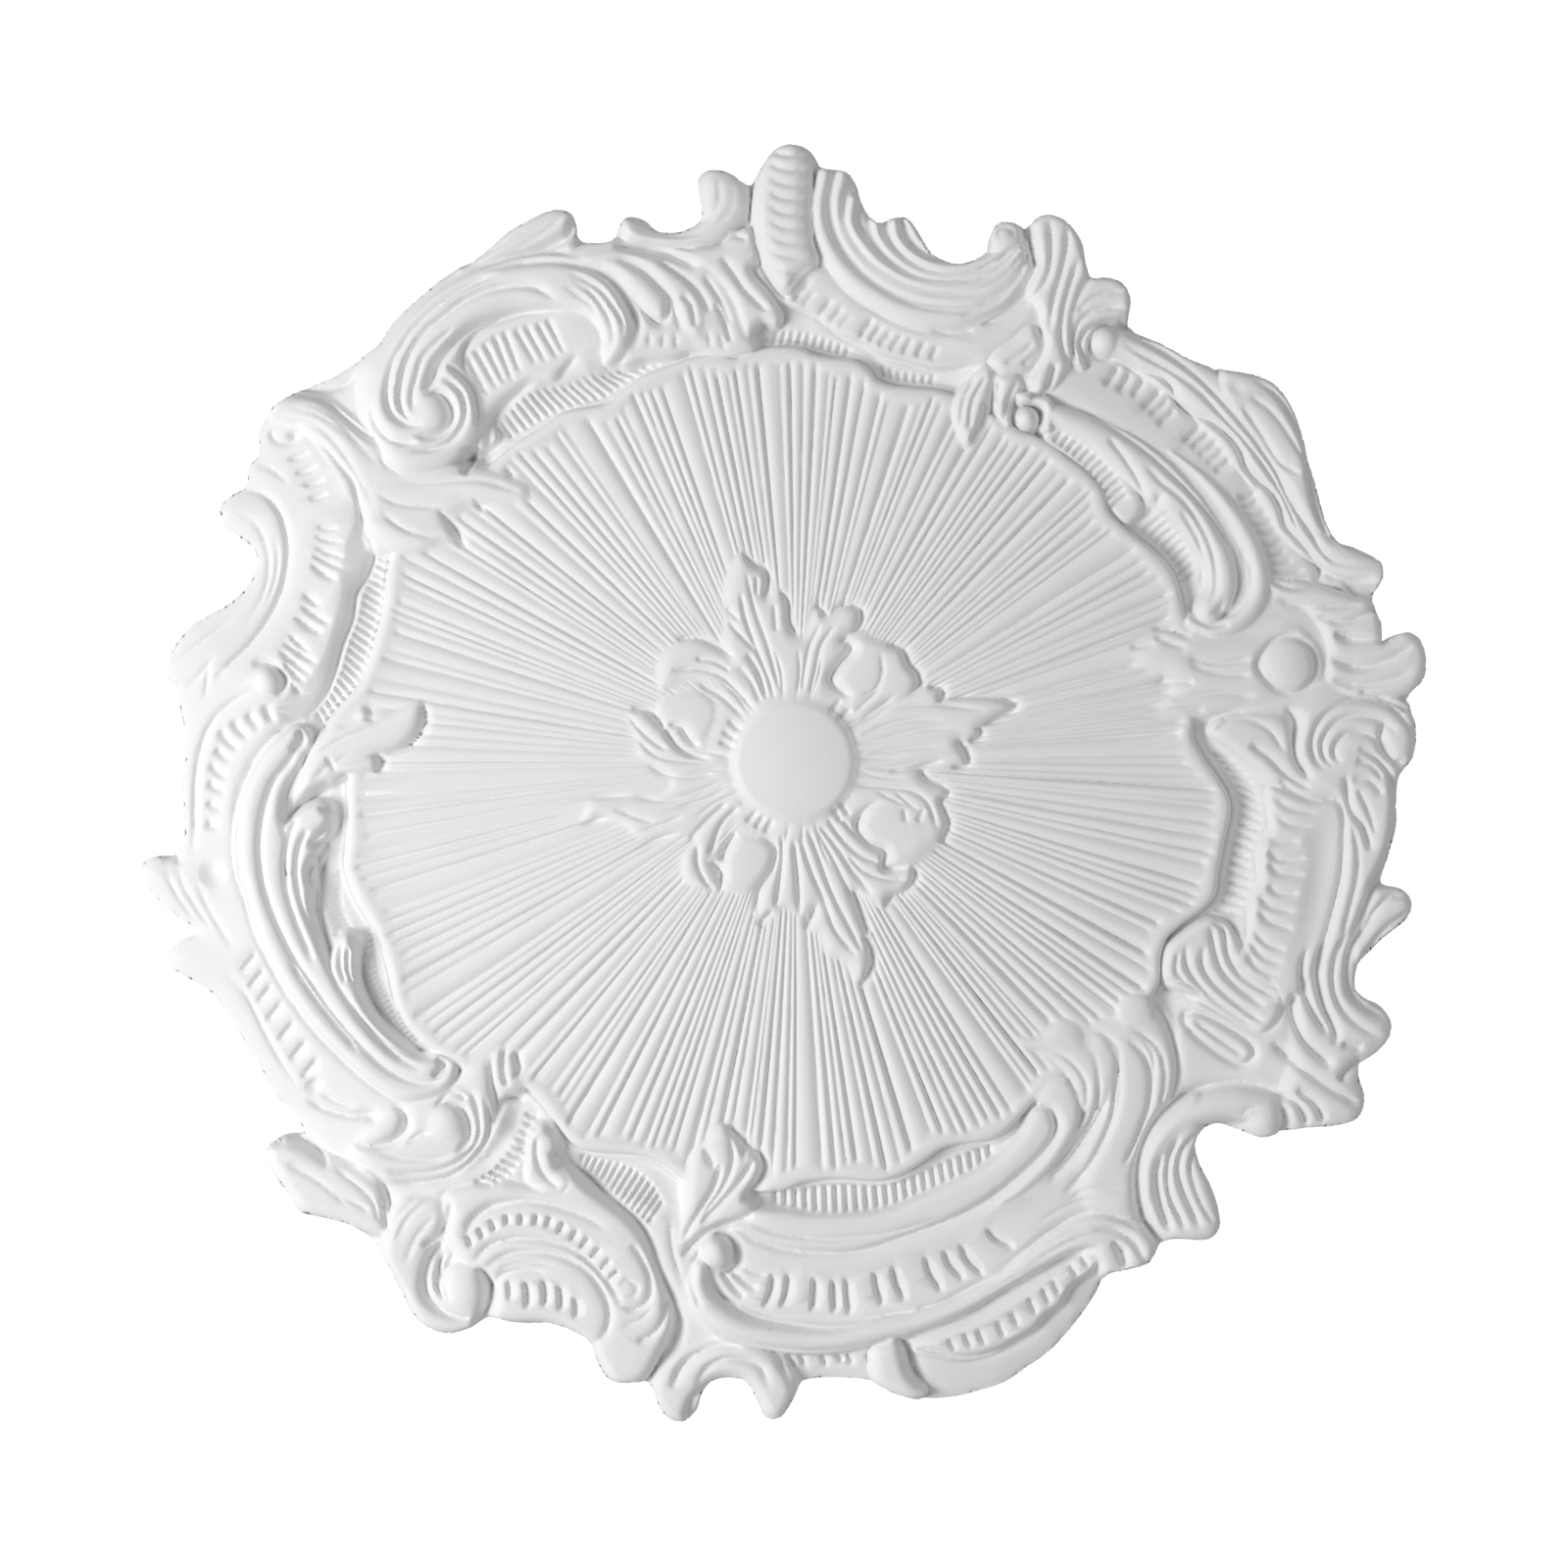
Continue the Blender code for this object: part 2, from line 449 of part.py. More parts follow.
def height_at(heights, x, y):
    """The carved height between the four nearest places."""
    column = np.clip((x + HALF_SPAN) / PITCH, 0, heights.shape[1] - 1.001)
    row = np.clip((y + HALF_SPAN) / PITCH, 0, heights.shape[0] - 1.001)
    i = row.astype(int)
    j = column.astype(int)
    u = column - j
    v = row - i
    upper = heights[i, j] * (1 - u) + heights[i, j + 1] * u
    lower = heights[i + 1, j] * (1 - u) + heights[i + 1, j + 1] * u
    return upper * (1 - v) + lower * v


def ring_radii(angle):
    """Radius of every ring of the front on the given spokes, from the axis to the outline."""
    edge = np.interp(angle, *radius_by_angle(FIELD_EDGE))
    rim = np.interp(angle, *radius_by_angle(OUTLINE))
    boss_foot = BOSS_RADIUS + (BOSS_HEIGHT - BOSS_BEVEL - FIELD_MIDDLE_HEIGHT) / SIDE_FALL
    rings = [0 * edge, 0 * edge + BOSS_RADIUS - BOSS_BEVEL, 0 * edge + BOSS_RADIUS]
    for share in np.linspace(0, 1, FIELD_RINGS):
        rings.append(boss_foot + (edge - boss_foot) * share)
    for share in np.linspace(0, 1, FRAME_RINGS)[1:]:
        rings.append(edge + (rim - edge) * share)
    return np.array(rings)


def wrap_front(mesh):
    """Bends a flat grid round the axis and lifts it to the carved heights."""
    angles = np.linspace(-math.pi, math.pi, SPOKES + 1)
    radii = ring_radii(angles)
    grid = bmesh.new()
    bmesh.ops.create_grid(grid, x_segments=SPOKES, y_segments=len(radii) - 1, size=1)
    grid.to_mesh(mesh)
    grid.free()
    flat = np.zeros(len(mesh.vertices) * 3)
    mesh.vertices.foreach_get("co", flat)
    flat = flat.reshape(-1, 3)
    spoke = np.rint((flat[:, 0] + 1) / 2 * SPOKES).astype(int)
    ring = np.rint((flat[:, 1] + 1) / 2 * (len(radii) - 1)).astype(int)
    radius = radii[ring, spoke]
    x = radius * np.cos(angles[spoke])
    y = radius * np.sin(angles[spoke])
    front = np.stack((x, y, -height_at(carve(), x, y)), axis=1)
    mesh.vertices.foreach_set("co", front.ravel())
    mesh.update()


def close_seam(mesh):
    """Joins the grid's two side edges and gathers its first row into one point."""
    front = bmesh.new()
    front.from_mesh(mesh)
    bmesh.ops.remove_doubles(front, verts=front.verts, dist=MERGE_DISTANCE)
    bmesh.ops.dissolve_degenerate(front, edges=front.edges, dist=MERGE_DISTANCE)
    bmesh.ops.triangulate(front, faces=front.faces)
    front.to_mesh(mesh)
    front.free()


def thin_out(body):
    """Leaves the triangles where the carving needs them."""
    thinning = body.modifiers.new("thinning", "DECIMATE")
    thinning.ratio = FRONT_TRIANGLES / len(body.data.polygons)
    thinned = bpy.data.meshes.new_from_object(body.evaluated_get(bpy.context.evaluated_depsgraph_get()))
    body.modifiers.clear()
    body.data = thinned


def close_back(mesh):
    """Runs the outline straight up to the ceiling and closes it with the flat back."""
    body = bmesh.new()
    body.from_mesh(mesh)
    outline = [edge for edge in body.edges if edge.is_boundary]
    walls = bmesh.ops.extrude_edge_only(body, edges=outline)["geom"]
    for part in walls:
        if isinstance(part, bmesh.types.BMVert):
            part.co.z = 0.0
    back_edges = [part for part in walls if isinstance(part, bmesh.types.BMEdge) and part.is_boundary]
    bmesh.ops.contextual_create(body, geom=back_edges)
    bmesh.ops.recalc_face_normals(body, faces=body.faces)
    body.to_mesh(mesh)
    body.free()


def plaster():
    """Matt off-white casting, primed for paint."""
    material = bpy.data.materials.new("white_primer")
    material.use_nodes = True
    shader = material.node_tree.nodes["Principled BSDF"]
    shader.inputs["Base Color"].default_value = PLASTER_WHITE
    shader.inputs["Roughness"].default_value = PLASTER_ROUGHNESS
    shader.inputs["Metallic"].default_value = 0.0
    return material


def clear_scene():
    for thing in list(bpy.data.objects):
        bpy.data.objects.remove(thing, do_unlink=True)


def build_rose():
    collection = bpy.data.collections.new("ceiling_rose_model")
    bpy.context.scene.collection.children.link(collection)
    mesh = bpy.data.meshes.new("ceiling_rose")
    rose = bpy.data.objects.new("ceiling_rose", mesh)
    collection.objects.link(rose)
    wrap_front(mesh)
    close_seam(mesh)
    thin_out(rose)
    close_back(rose.data)
    rose.data.materials.clear()
    rose.data.materials.append(plaster())
    rose.data.shade_smooth()
    rose.data.set_sharp_from_angle(angle=SHARP_ANGLE)


clear_scene()
build_rose()
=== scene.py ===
"""Ceiling rose: the fine relief of the cast front over the frame's solid, its finish, lights and camera.

The plan is drawn in parts, about a millimetre each, as it is seen from below: x to the right and
y towards the foot of the ornament. Heights are in parts too, measured down from the ceiling.
"""
import json
import math

import bmesh
import bpy
import numpy as np
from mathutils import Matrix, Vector

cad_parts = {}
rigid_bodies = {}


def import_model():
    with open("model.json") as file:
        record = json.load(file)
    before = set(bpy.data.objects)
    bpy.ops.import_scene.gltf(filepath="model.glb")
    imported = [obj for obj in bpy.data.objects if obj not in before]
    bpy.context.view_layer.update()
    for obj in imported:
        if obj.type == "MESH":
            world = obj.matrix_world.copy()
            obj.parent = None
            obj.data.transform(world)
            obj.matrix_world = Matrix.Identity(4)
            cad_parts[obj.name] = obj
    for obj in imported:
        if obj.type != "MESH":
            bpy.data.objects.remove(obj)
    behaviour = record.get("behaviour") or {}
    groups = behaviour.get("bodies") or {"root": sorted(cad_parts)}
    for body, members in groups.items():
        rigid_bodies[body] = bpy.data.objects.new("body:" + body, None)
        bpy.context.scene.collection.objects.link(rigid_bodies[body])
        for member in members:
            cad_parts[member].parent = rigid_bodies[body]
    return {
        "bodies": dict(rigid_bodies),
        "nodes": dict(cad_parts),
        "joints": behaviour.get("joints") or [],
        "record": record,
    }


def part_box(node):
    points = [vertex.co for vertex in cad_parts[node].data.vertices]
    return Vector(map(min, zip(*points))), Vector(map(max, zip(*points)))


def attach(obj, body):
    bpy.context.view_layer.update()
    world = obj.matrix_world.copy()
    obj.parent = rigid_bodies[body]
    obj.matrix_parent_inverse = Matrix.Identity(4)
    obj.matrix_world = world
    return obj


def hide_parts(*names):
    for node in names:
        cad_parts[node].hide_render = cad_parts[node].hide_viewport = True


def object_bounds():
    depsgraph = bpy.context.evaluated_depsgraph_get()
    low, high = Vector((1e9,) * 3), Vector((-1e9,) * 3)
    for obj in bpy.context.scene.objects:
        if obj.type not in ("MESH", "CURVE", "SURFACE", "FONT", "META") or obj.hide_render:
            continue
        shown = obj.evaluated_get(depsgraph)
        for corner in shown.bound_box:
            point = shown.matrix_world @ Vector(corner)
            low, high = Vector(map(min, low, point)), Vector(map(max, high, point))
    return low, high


# The drawing and its fineness
DRAWN_WIDTH = 657.7
PITCH = 0.5
SPOKES = 1600
BOSS_REACH = 32.5
LEAF_REACH = 96.0
BOSS_RINGS = 12
LEAF_RINGS = 66
FIELD_RINGS = 70
FRAME_RINGS = 150
EDGE_SNAP = 0.25
SURROUND = [
    (0, -330), (60, -305), (110, -292), (170, -270), (225, -232), (275, -190), (300, -135), (325, -75),
    (330, -20), (330, 60), (325, 110), (312, 165), (290, 205), (240, 258), (175, 305), (100, 340),
    (30, 348), (-50, 352), (-120, 325), (-190, 308), (-250, 268), (-285, 222), (-315, 160), (-345, 90),
    (-345, 20), (-330, -60), (-310, -135), (-278, -200), (-215, -252), (-130, -298), (-60, -312),
]
RELIEF_TRIANGLES = 184000

# The photo: its size and the axis in pixels, and the parts of plan that a pixel covers
IMAGE_SIZE = 1600
AXIS_PIXEL = (810, 777)
PIXEL = 0.5
LENS = 80.0
SENSOR = 36.0
RELIEF_LEVEL = 22.0

# Surroundings, in metres and watts
CEILING_HEIGHT = 2.4
FLOOR_SIZE = 12.0
AMBIENT = 0.43
KEY_PLACE = (-1.43, 0.22, -1.25)
KEY_SIZE = 0.9
KEY_POWER = 24.3


JOINT = 0.25


def smooth(knots, step=1.5, closed=False):
    """A rounded path through the knots, with a point about every step."""
    knots = np.asarray(knots, float)
    if closed:
        ring = np.vstack((knots[-1], knots, knots[:2]))
    else:
        first = 2 * knots[0] - knots[1]
        last = 2 * knots[-1] - knots[-2]
        ring = np.vstack((first, knots, last))
    path = []
    for before, start, end, after in zip(ring, ring[1:], ring[2:], ring[3:]):
        chord = max(np.hypot(*(end - start)), 1e-6)
        lead = max(np.hypot(*(start - before)), 1e-6)
        trail = max(np.hypot(*(after - end)), 1e-6)
        pull_in = (end - before) * chord / (chord + lead)
        pull_out = (after - start) * chord / (chord + trail)
        count = max(int(math.ceil(chord / step)), 1)
        t = np.arange(count)[:, None] / count
        path.append(start * (2 * t**3 - 3 * t**2 + 1) + pull_in * (t**3 - 2 * t**2 + t)
                    + end * (3 * t**2 - 2 * t**3) + pull_out * (t**3 - t**2))
    if not closed:
        path.append(knots[-1:])
    else:
        path.append(knots[:1])
    return np.vstack(path)


def spiral(centre, start_radius, end_radius, start_angle, end_angle, count=14):
    """Knots of a volute, in degrees."""
    knots = []
    for i in range(count + 1):
        t = i / count
        radius = start_radius + (end_radius - start_radius) * t
        angle = math.radians(start_angle + (end_angle - start_angle) * t)
        knots.append((centre[0] + radius * math.cos(angle), centre[1] + radius * math.sin(angle)))
    return knots


def polar_edge(knots):
    """Radius of a closed edge at every half degree round the middle."""
    path = smooth(knots, 1.0, closed=True)
    angle = np.unwrap(np.arctan2(path[:, 1], path[:, 0]))
    if angle[-1] < angle[0]:
        angle, path = angle[::-1], path[::-1]
    angle = np.maximum.accumulate(angle)
    radius = np.hypot(path[:, 0], path[:, 1])
    turn = 2 * math.pi
    angle = np.concatenate((angle - turn, angle, angle + turn))
    radius = np.tile(radius, 3)
    return angle, radius


class Clay:
    def __init__(self, half, pitch):
        self.half = half
        self.pitch = pitch
        line = np.arange(-half, half + pitch / 2, pitch)
        self.x, self.y = np.meshgrid(line, line)
        self.body = np.zeros(self.x.shape)
        self.grooves = np.zeros(self.x.shape)

    def window(self, low, high, reach):
        first = np.floor((np.asarray(low) - reach + self.half) / self.pitch).astype(int)
        last = np.ceil((np.asarray(high) + reach + self.half) / self.pitch).astype(int) + 1
        first = np.clip(first, 0, self.x.shape[0])
        last = np.clip(last, 0, self.x.shape[0])
        return slice(first[1], last[1]), slice(first[0], last[0])

    def near(self, path, reach):
        """Signed offset from a path and the share of its length, round the path."""
        rows, cols = self.window(path.min(0), path.max(0), reach)
        offset = np.full(self.x[rows, cols].shape, np.inf)
        share = np.zeros(offset.shape)
        steps = np.hypot(*np.diff(path, axis=0).T)
        run = np.concatenate(([0.0], np.cumsum(steps)))
        total = max(run[-1], 1e-9)
        for start, end, length, done in zip(path, path[1:], steps, run):
            if length < 1e-9:
                continue
            r, c = self.window(np.minimum(start, end), np.maximum(start, end), reach)
            local = (slice(r.start - rows.start, r.stop - rows.start),
                     slice(c.start - cols.start, c.stop - cols.start))
            ux, uy = (end - start) / length
            dx = self.x[r, c] - start[0]
            dy = self.y[r, c] - start[1]
            along = np.clip(dx * ux + dy * uy, 0.0, length)
            distance = np.hypot(dx - along * ux, dy - along * uy)
            side = np.where(ux * dy - uy * dx < 0.0, -1.0, 1.0)
            closer = distance < np.abs(offset[local])
            offset[local] = np.where(closer, distance * side, offset[local])
            share[local] = np.where(closer, (done + along) / total, share[local])
        return rows, cols, offset, share

    def inside(self, path, rows, cols):
        """Where the window lies within a closed path."""
        x, y = self.x[rows, cols], self.y[rows, cols]
        within = np.zeros(x.shape, bool)
        for (x0, y0), (x1, y1) in zip(path, path[1:]):
            if y0 != y1:
                level = (y[:, 0] >= min(y0, y1)) & (y[:, 0] < max(y0, y1))
                crossing = x0 + (x1 - x0) * (y[level] - y0) / (y1 - y0)
                within[level] ^= x[level] < crossing
        return within

    def lay(self, knots, width, top, strands=1, depth=2.6, drop=3.0, steep=3.0, closed=False, moat=0.0):
        """A raised band of rounded strands; width and top may change from end to end."""
        path = smooth(knots, closed=closed)
        rows, cols, offset, share = self.near(path, np.max(width) + 8.0)
        half = np.maximum(spread(width, share), 0.2)
        away = np.abs(offset)
        across = np.clip(offset / half, -1, 1)
        form = spread(top, share) - drop * across**2 - steep * np.clip(away - half, 0, None)
        if strands > 1:
            place = (across + 1) / 2 * strands
            round_off = 1 - np.sqrt(np.clip(1 - (2 * (place - np.floor(place)) - 1)**2, 0, 1))
            form -= np.minimum(depth, 1.1 * half / strands) * np.where(away < half, round_off, 1)
        self.raise_to(rows, cols, form)
        if moat:
            ditch = moat * np.clip(1 - np.abs(away - half - 1.6) / 1.8, 0, 1)
            self.carve(rows, cols, ditch * (away > half))

    def pad(self, knots, top, edge=3.0, drop=3.0, steep=3.0, moat=0.0):
        """A raised closed shape with a rounded edge."""
        path = smooth(knots, closed=True)
        rows, cols, within = self.fill(path)
        offset = self.offset_in(path, rows, cols, max(edge, 6.0) + 3.0)
        deep = np.where(within, offset, -offset)
        rounded = 1 - np.clip(deep / edge, 0, 1)
        form = top - drop * rounded**2 - steep * np.clip(-deep, 0, None)
        self.raise_to(rows, cols, form)
        if moat:
            self.carve(rows, cols, moat * np.clip(1 - np.abs(-deep - 1.4) / 1.6, 0, 1) * (deep < 0))

    def fill(self, path):
        rows, cols = self.window(path.min(0), path.max(0), 9.0)
        return rows, cols, self.inside(path, rows, cols)

    def offset_in(self, path, rows, cols, reach):
        r, c, offset, _ = self.near(path, reach)
        full = np.full(self.x[rows, cols].shape, reach)
        r0, c0 = r.start - rows.start, c.start - cols.start
        # both windows cover the path, so only their overlap is copied
        a0, b0 = max(r0, 0), max(c0, 0)
        a1 = min(r0 + offset.shape[0], full.shape[0])
        b1 = min(c0 + offset.shape[1], full.shape[1])
        full[a0:a1, b0:b1] = np.minimum(np.abs(offset[a0 - r0:a1 - r0, b0 - c0:b1 - c0]), reach)
        return full

    def raise_to(self, rows, cols, form):
        """Lays a form over what is there, with the joint run out, and covers the grooves beneath it."""
        ground = self.body[rows, cols] - self.grooves[rows, cols]
        above = form > ground
        joint = JOINT * np.clip(1 - np.abs(form - ground) / (4 * JOINT), 0, 1)**2
        self.body[rows, cols] = np.where(above, form, self.body[rows, cols]) + joint
        self.grooves[rows, cols] = np.where(above, 0.0, self.grooves[rows, cols])

    def ball(self, x, y, radius, top, drop=5.0, ring=0.0):
        """A bead, with a groove round it where ring is its width."""
        rows, cols = self.window((x, y), (x, y), radius + 6.0)
        away = np.hypot(self.x[rows, cols] - x, self.y[rows, cols] - y)
        form = top - drop * np.clip(away / radius, 0, 1)**2 - 3.0 * np.clip(away - radius, 0, None)
        self.raise_to(rows, cols, form)
        if ring:
            groove = 3.0 * np.clip(1 - np.abs(away - radius - ring * 0.4) / ring, 0, 1)
            self.grooves[rows, cols] = np.maximum(self.grooves[rows, cols], groove)

    def cut(self, knots, width=2.6, depth=3.0, ends=0.12, closed=False):
        """A groove with a sharp crease and soft shoulders."""
        path = smooth(knots, closed=closed)
        shoulder = 2.6
        rows, cols, offset, share = self.near(path, np.max(width) * shoulder)
        half = spread(width, share)
        away = np.abs(offset)
        form = (0.6 * np.clip(1 - away / half, 0, 1)**1.5
                + 0.4 * np.clip(1 - away / np.minimum(half * shoulder, half + 4.0), 0, 1)**2)
        if not closed:
            form = form * fade(share, ends)
        self.carve(rows, cols, spread(depth, share) * form)

    def cuts(self, width, depth, *paths, ends=0.12):
        for knots in paths:
            self.cut(knots, width, depth, ends)

    def gouge(self, knots, width, depth, ends=0.2):
        """A petal shaped hollow, steep on the right of its run and with a long slope on the left."""
        path = smooth(knots)
        rows, cols, offset, share = self.near(path, width)
        half = width * (0.25 + 0.75 * np.sin(math.pi * share)**0.6)
        form = np.where(offset > 0, np.clip(1 - offset / 1.8, 0, 1), np.clip(1 + offset / half, 0, 1)**1.6)
        self.carve(rows, cols, depth * form * fade(share, ends))

    def dish(self, knots, width, depth, ends=0.15):
        """A broad hollow along a path."""
        path = smooth(knots)
        rows, cols, offset, share = self.near(path, np.max(width))
        form = np.clip(1 - (offset / spread(width, share))**2, 0, 1)**1.5
        self.carve(rows, cols, spread(depth, share) * form * fade(share, ends))

    def carve(self, rows, cols, depth):
        self.grooves[rows, cols] = np.maximum(self.grooves[rows, cols], depth)

    def rungs(self, first, second, count, width=1.6, depth=2.2, ends=0.2, lead=0.0):
        """A row of short grooves from one path to another."""
        for i in range(count):
            share = (i + 0.5) / count
            start = at_share(first, share)
            end = at_share(second, min(max(share + lead, 0.0), 1.0))
            self.cut([start, end], width, depth, ends)

    def heights(self):
        return self.body - self.grooves


def spread(value, share):
    """A size that changes evenly along a stroke where it is given as a row."""
    if np.ndim(value) == 0:
        return float(value)
    return np.interp(share, np.linspace(0.0, 1.0, len(value)), value)


def fade(share, ends):
    if ends <= 0:
        return 1.0
    lead = np.clip(share / ends, 0, 1)
    trail = np.clip((1 - share) / ends, 0, 1)
    return np.minimum(lead, trail)**0.7


def at_share(knots, share):
    path = smooth(knots)
    steps = np.hypot(*np.diff(path, axis=0).T)
    run = np.concatenate(([0.0], np.cumsum(steps)))
    return (np.interp(share * run[-1], run, path[:, 0]), np.interp(share * run[-1], run, path[:, 1]))
OUTLINE = [
    (-84, -279), (-76, -277), (-70, -271), (-63, -270), (-56, -271), (-48, -276), (-47, -283),
    (-49, -297), (-46, -301), (-40, -302), (-32, -300), (-25, -295), (-21, -296), (-16, -304),
    (-10, -312), (-3, -315), (4, -314), (10, -310), (15, -303), (22, -302), (28, -300),
    (32, -294), (34, -287), (38, -279), (44, -275), (50, -277), (56, -278), (61, -274),
    (70, -260), (76, -256), (84, -254), (92, -256), (99, -261), (101, -270), (105, -275),
    (112, -275), (119, -273), (125, -278), (132, -279), (140, -275), (147, -265), (149, -255),
    (152, -247), (160, -247), (168, -244), (172, -236), (171, -225), (175, -220), (190, -212),
    (205, -204), (220, -200), (236, -197), (246, -192), (254, -181), (260, -165), (263, -152),
    (267, -140), (272, -121), (278, -112), (290, -108), (299, -103), (301, -95), (297, -86),
    (297, -78), (300, -70), (301, -61), (307, -64), (314, -66), (320, -62), (323, -50),
    (321, -41), (315, -35), (315, -27), (318, -16), (316, -2), (309, 8), (308, 22), (308, 32),
    (304, 48), (301, 62), (310, 65), (315, 70), (314, 79), (306, 86), (301, 90), (295, 96),
    (288, 104), (287, 116), (292, 121), (300, 125), (305, 133), (304, 141), (297, 149),
    (289, 155), (289, 163), (292, 172), (288, 182), (276, 186), (262, 187), (250, 189),
    (240, 192), (229, 189), (216, 185), (208, 189), (205, 195), (207, 205), (213, 217),
    (217, 230), (217, 239), (211, 244), (192, 244), (186, 249), (181, 256), (168, 260),
    (160, 262), (155, 272), (147, 284), (137, 296), (130, 303), (120, 310), (108, 318),
    (93, 323), (78, 326), (65, 326), (52, 323), (42, 318), (30, 316), (12, 316), (4, 318),
    (-1, 327), (-7, 335), (-14, 335), (-19, 326), (-24, 317), (-33, 315), (-42, 317),
    (-47, 323), (-50, 332), (-57, 337), (-64, 335), (-69, 329), (-72, 320), (-77, 317),
    (-90, 317), (-97, 313), (-101, 306), (-103, 298), (-110, 292), (-124, 287), (-133, 288),
    (-145, 286), (-155, 284), (-165, 289), (-177, 292), (-188, 288), (-195, 281), (-201, 269),
    (-209, 254), (-217, 244), (-226, 237), (-240, 233), (-252, 230), (-257, 223), (-264, 213),
    (-269, 204), (-268, 196), (-261, 192), (-252, 191), (-252, 187), (-256, 180), (-264, 172),
    (-271, 161), (-284, 139), (-292, 126), (-300, 117), (-312, 110), (-319, 105), (-320, 98),
    (-314, 92), (-305, 87), (-312, 82), (-320, 76), (-328, 68), (-334, 60), (-334, 53),
    (-329, 49), (-318, 48), (-313, 43), (-313, 20), (-313, 5), (-311, -8), (-313, -20),
    (-315, -30), (-316, -38), (-321, -43), (-321, -51), (-316, -61), (-308, -70), (-298, -76),
    (-288, -82), (-280, -90), (-275, -100), (-276, -108), (-284, -115), (-292, -122),
    (-294, -130), (-289, -136), (-281, -141), (-279, -151), (-274, -158), (-274, -168),
    (-269, -178), (-259, -186), (-248, -192), (-236, -197), (-222, -206), (-212, -213),
    (-205, -224), (-190, -238), (-176, -249), (-160, -258), (-146, -270), (-134, -277),
    (-122, -282), (-113, -279), (-111, -269), (-105, -265), (-93, -266), (-89, -274),
]

LIP = [
    (-150, -155), (-140, -163), (-128, -170), (-118, -177), (-105, -180), (-95, -182),
    (-85, -190), (-75, -197), (-62, -202), (-50, -206), (-38, -207), (-30, -205), (-22, -208),
    (-10, -211), (3, -210), (10, -207), (20, -205), (30, -204), (37, -200), (42, -194),
    (50, -191), (60, -190), (76, -188), (90, -182), (105, -174), (122, -166), (132, -160),
    (140, -154), (150, -146), (157, -137), (160, -128), (166, -121), (174, -114), (184, -106),
    (192, -97), (196, -87), (198, -78), (200, -68), (200, -50), (201, -35), (203, -25),
    (203, -12), (208, -2), (215, 8), (221, 18), (222, 26), (219, 40), (216, 55), (214, 68),
    (208, 75), (198, 82), (190, 90), (187, 100), (186, 112), (178, 125), (165, 138),
    (150, 150), (133, 163), (128, 168), (120, 176), (112, 184), (105, 190), (97, 193),
    (85, 194), (75, 197), (65, 204), (55, 210), (45, 213), (35, 213), (20, 212), (5, 214),
    (-5, 218), (-18, 219), (-35, 216), (-55, 213), (-68, 204), (-80, 200), (-97, 199),
    (-108, 197), (-115, 192), (-122, 182), (-130, 172), (-138, 165), (-152, 161), (-168, 158),
    (-175, 152), (-187, 145), (-197, 135), (-203, 120), (-206, 105), (-213, 85), (-222, 70),
    (-228, 53), (-227, 40), (-227, 5), (-232, -8), (-238, -18), (-232, -27), (-222, -38),
    (-216, -50), (-212, -65), (-208, -80), (-207, -95), (-203, -110), (-190, -128),
    (-172, -140), (-158, -148),
]

FIELD_MIDDLE = 28.0
FIELD_EDGE = 22.5
LIP_BAND = 7.0
LIP_STEP = 8.0
COVE_RISE = 8.0
COVE_WIDTH = 20.0
FRAME_TOP = 23.0
FRAME_RIM = 13.0
RIM_ROUNDING = 4.0
BOSS_TOP = 33.0
BOSS_RADIUS = 31.0
RAY_PATTERN = (1.7, 1.1, 1.3, 1.0, 1.5, 1.1, 2.3, 1.2)
RAYS_REPEAT = 24


def soft(t):
    t = np.clip(t, 0, 1)
    return t * t * (3 - 2 * t)


def rays(angle, radius, room):
    """Depth of the flutes' grooves; each groove has its own depth and length."""
    count = len(RAY_PATTERN) * RAYS_REPEAT
    turn = np.arange(count)
    pattern = np.array(RAY_PATTERN * RAYS_REPEAT) * (1 + 0.22 * np.sin(turn * 1.7) + 0.15 * np.sin(turn * 4.3))
    edges = np.concatenate(([0.0], np.cumsum(pattern))) / pattern.sum() * 2 * math.pi - math.pi
    # the flutes lean a little as they run outwards
    bend = angle + 0.012 * np.sin(angle * 7) * radius / 180
    bend = np.mod(bend + math.pi, 2 * math.pi) - math.pi
    place = np.clip(np.searchsorted(edges, bend, side="right") - 1, 0, count - 1)
    widths = np.diff(edges)
    u = (bend - edges[place]) / widths[place]
    groove = (place + (u > 0.5)) % count
    narrow = np.minimum(widths, np.roll(widths, 1))[groove]
    depth = np.minimum(0.56 * narrow * radius, 2.6) * (1 + 0.40 * np.sin(groove * 2.9))
    # deeper towards the right and the foot
    depth = depth * (1 + 0.24 * np.cos(angle - math.radians(30)))
    run_out = soft((room + 2.5 + 2.5 * np.sin(groove * 1.3)) / 4.0)
    return depth * (1 - np.clip(np.sin(math.pi * u), 0, 1)**0.6) * run_out


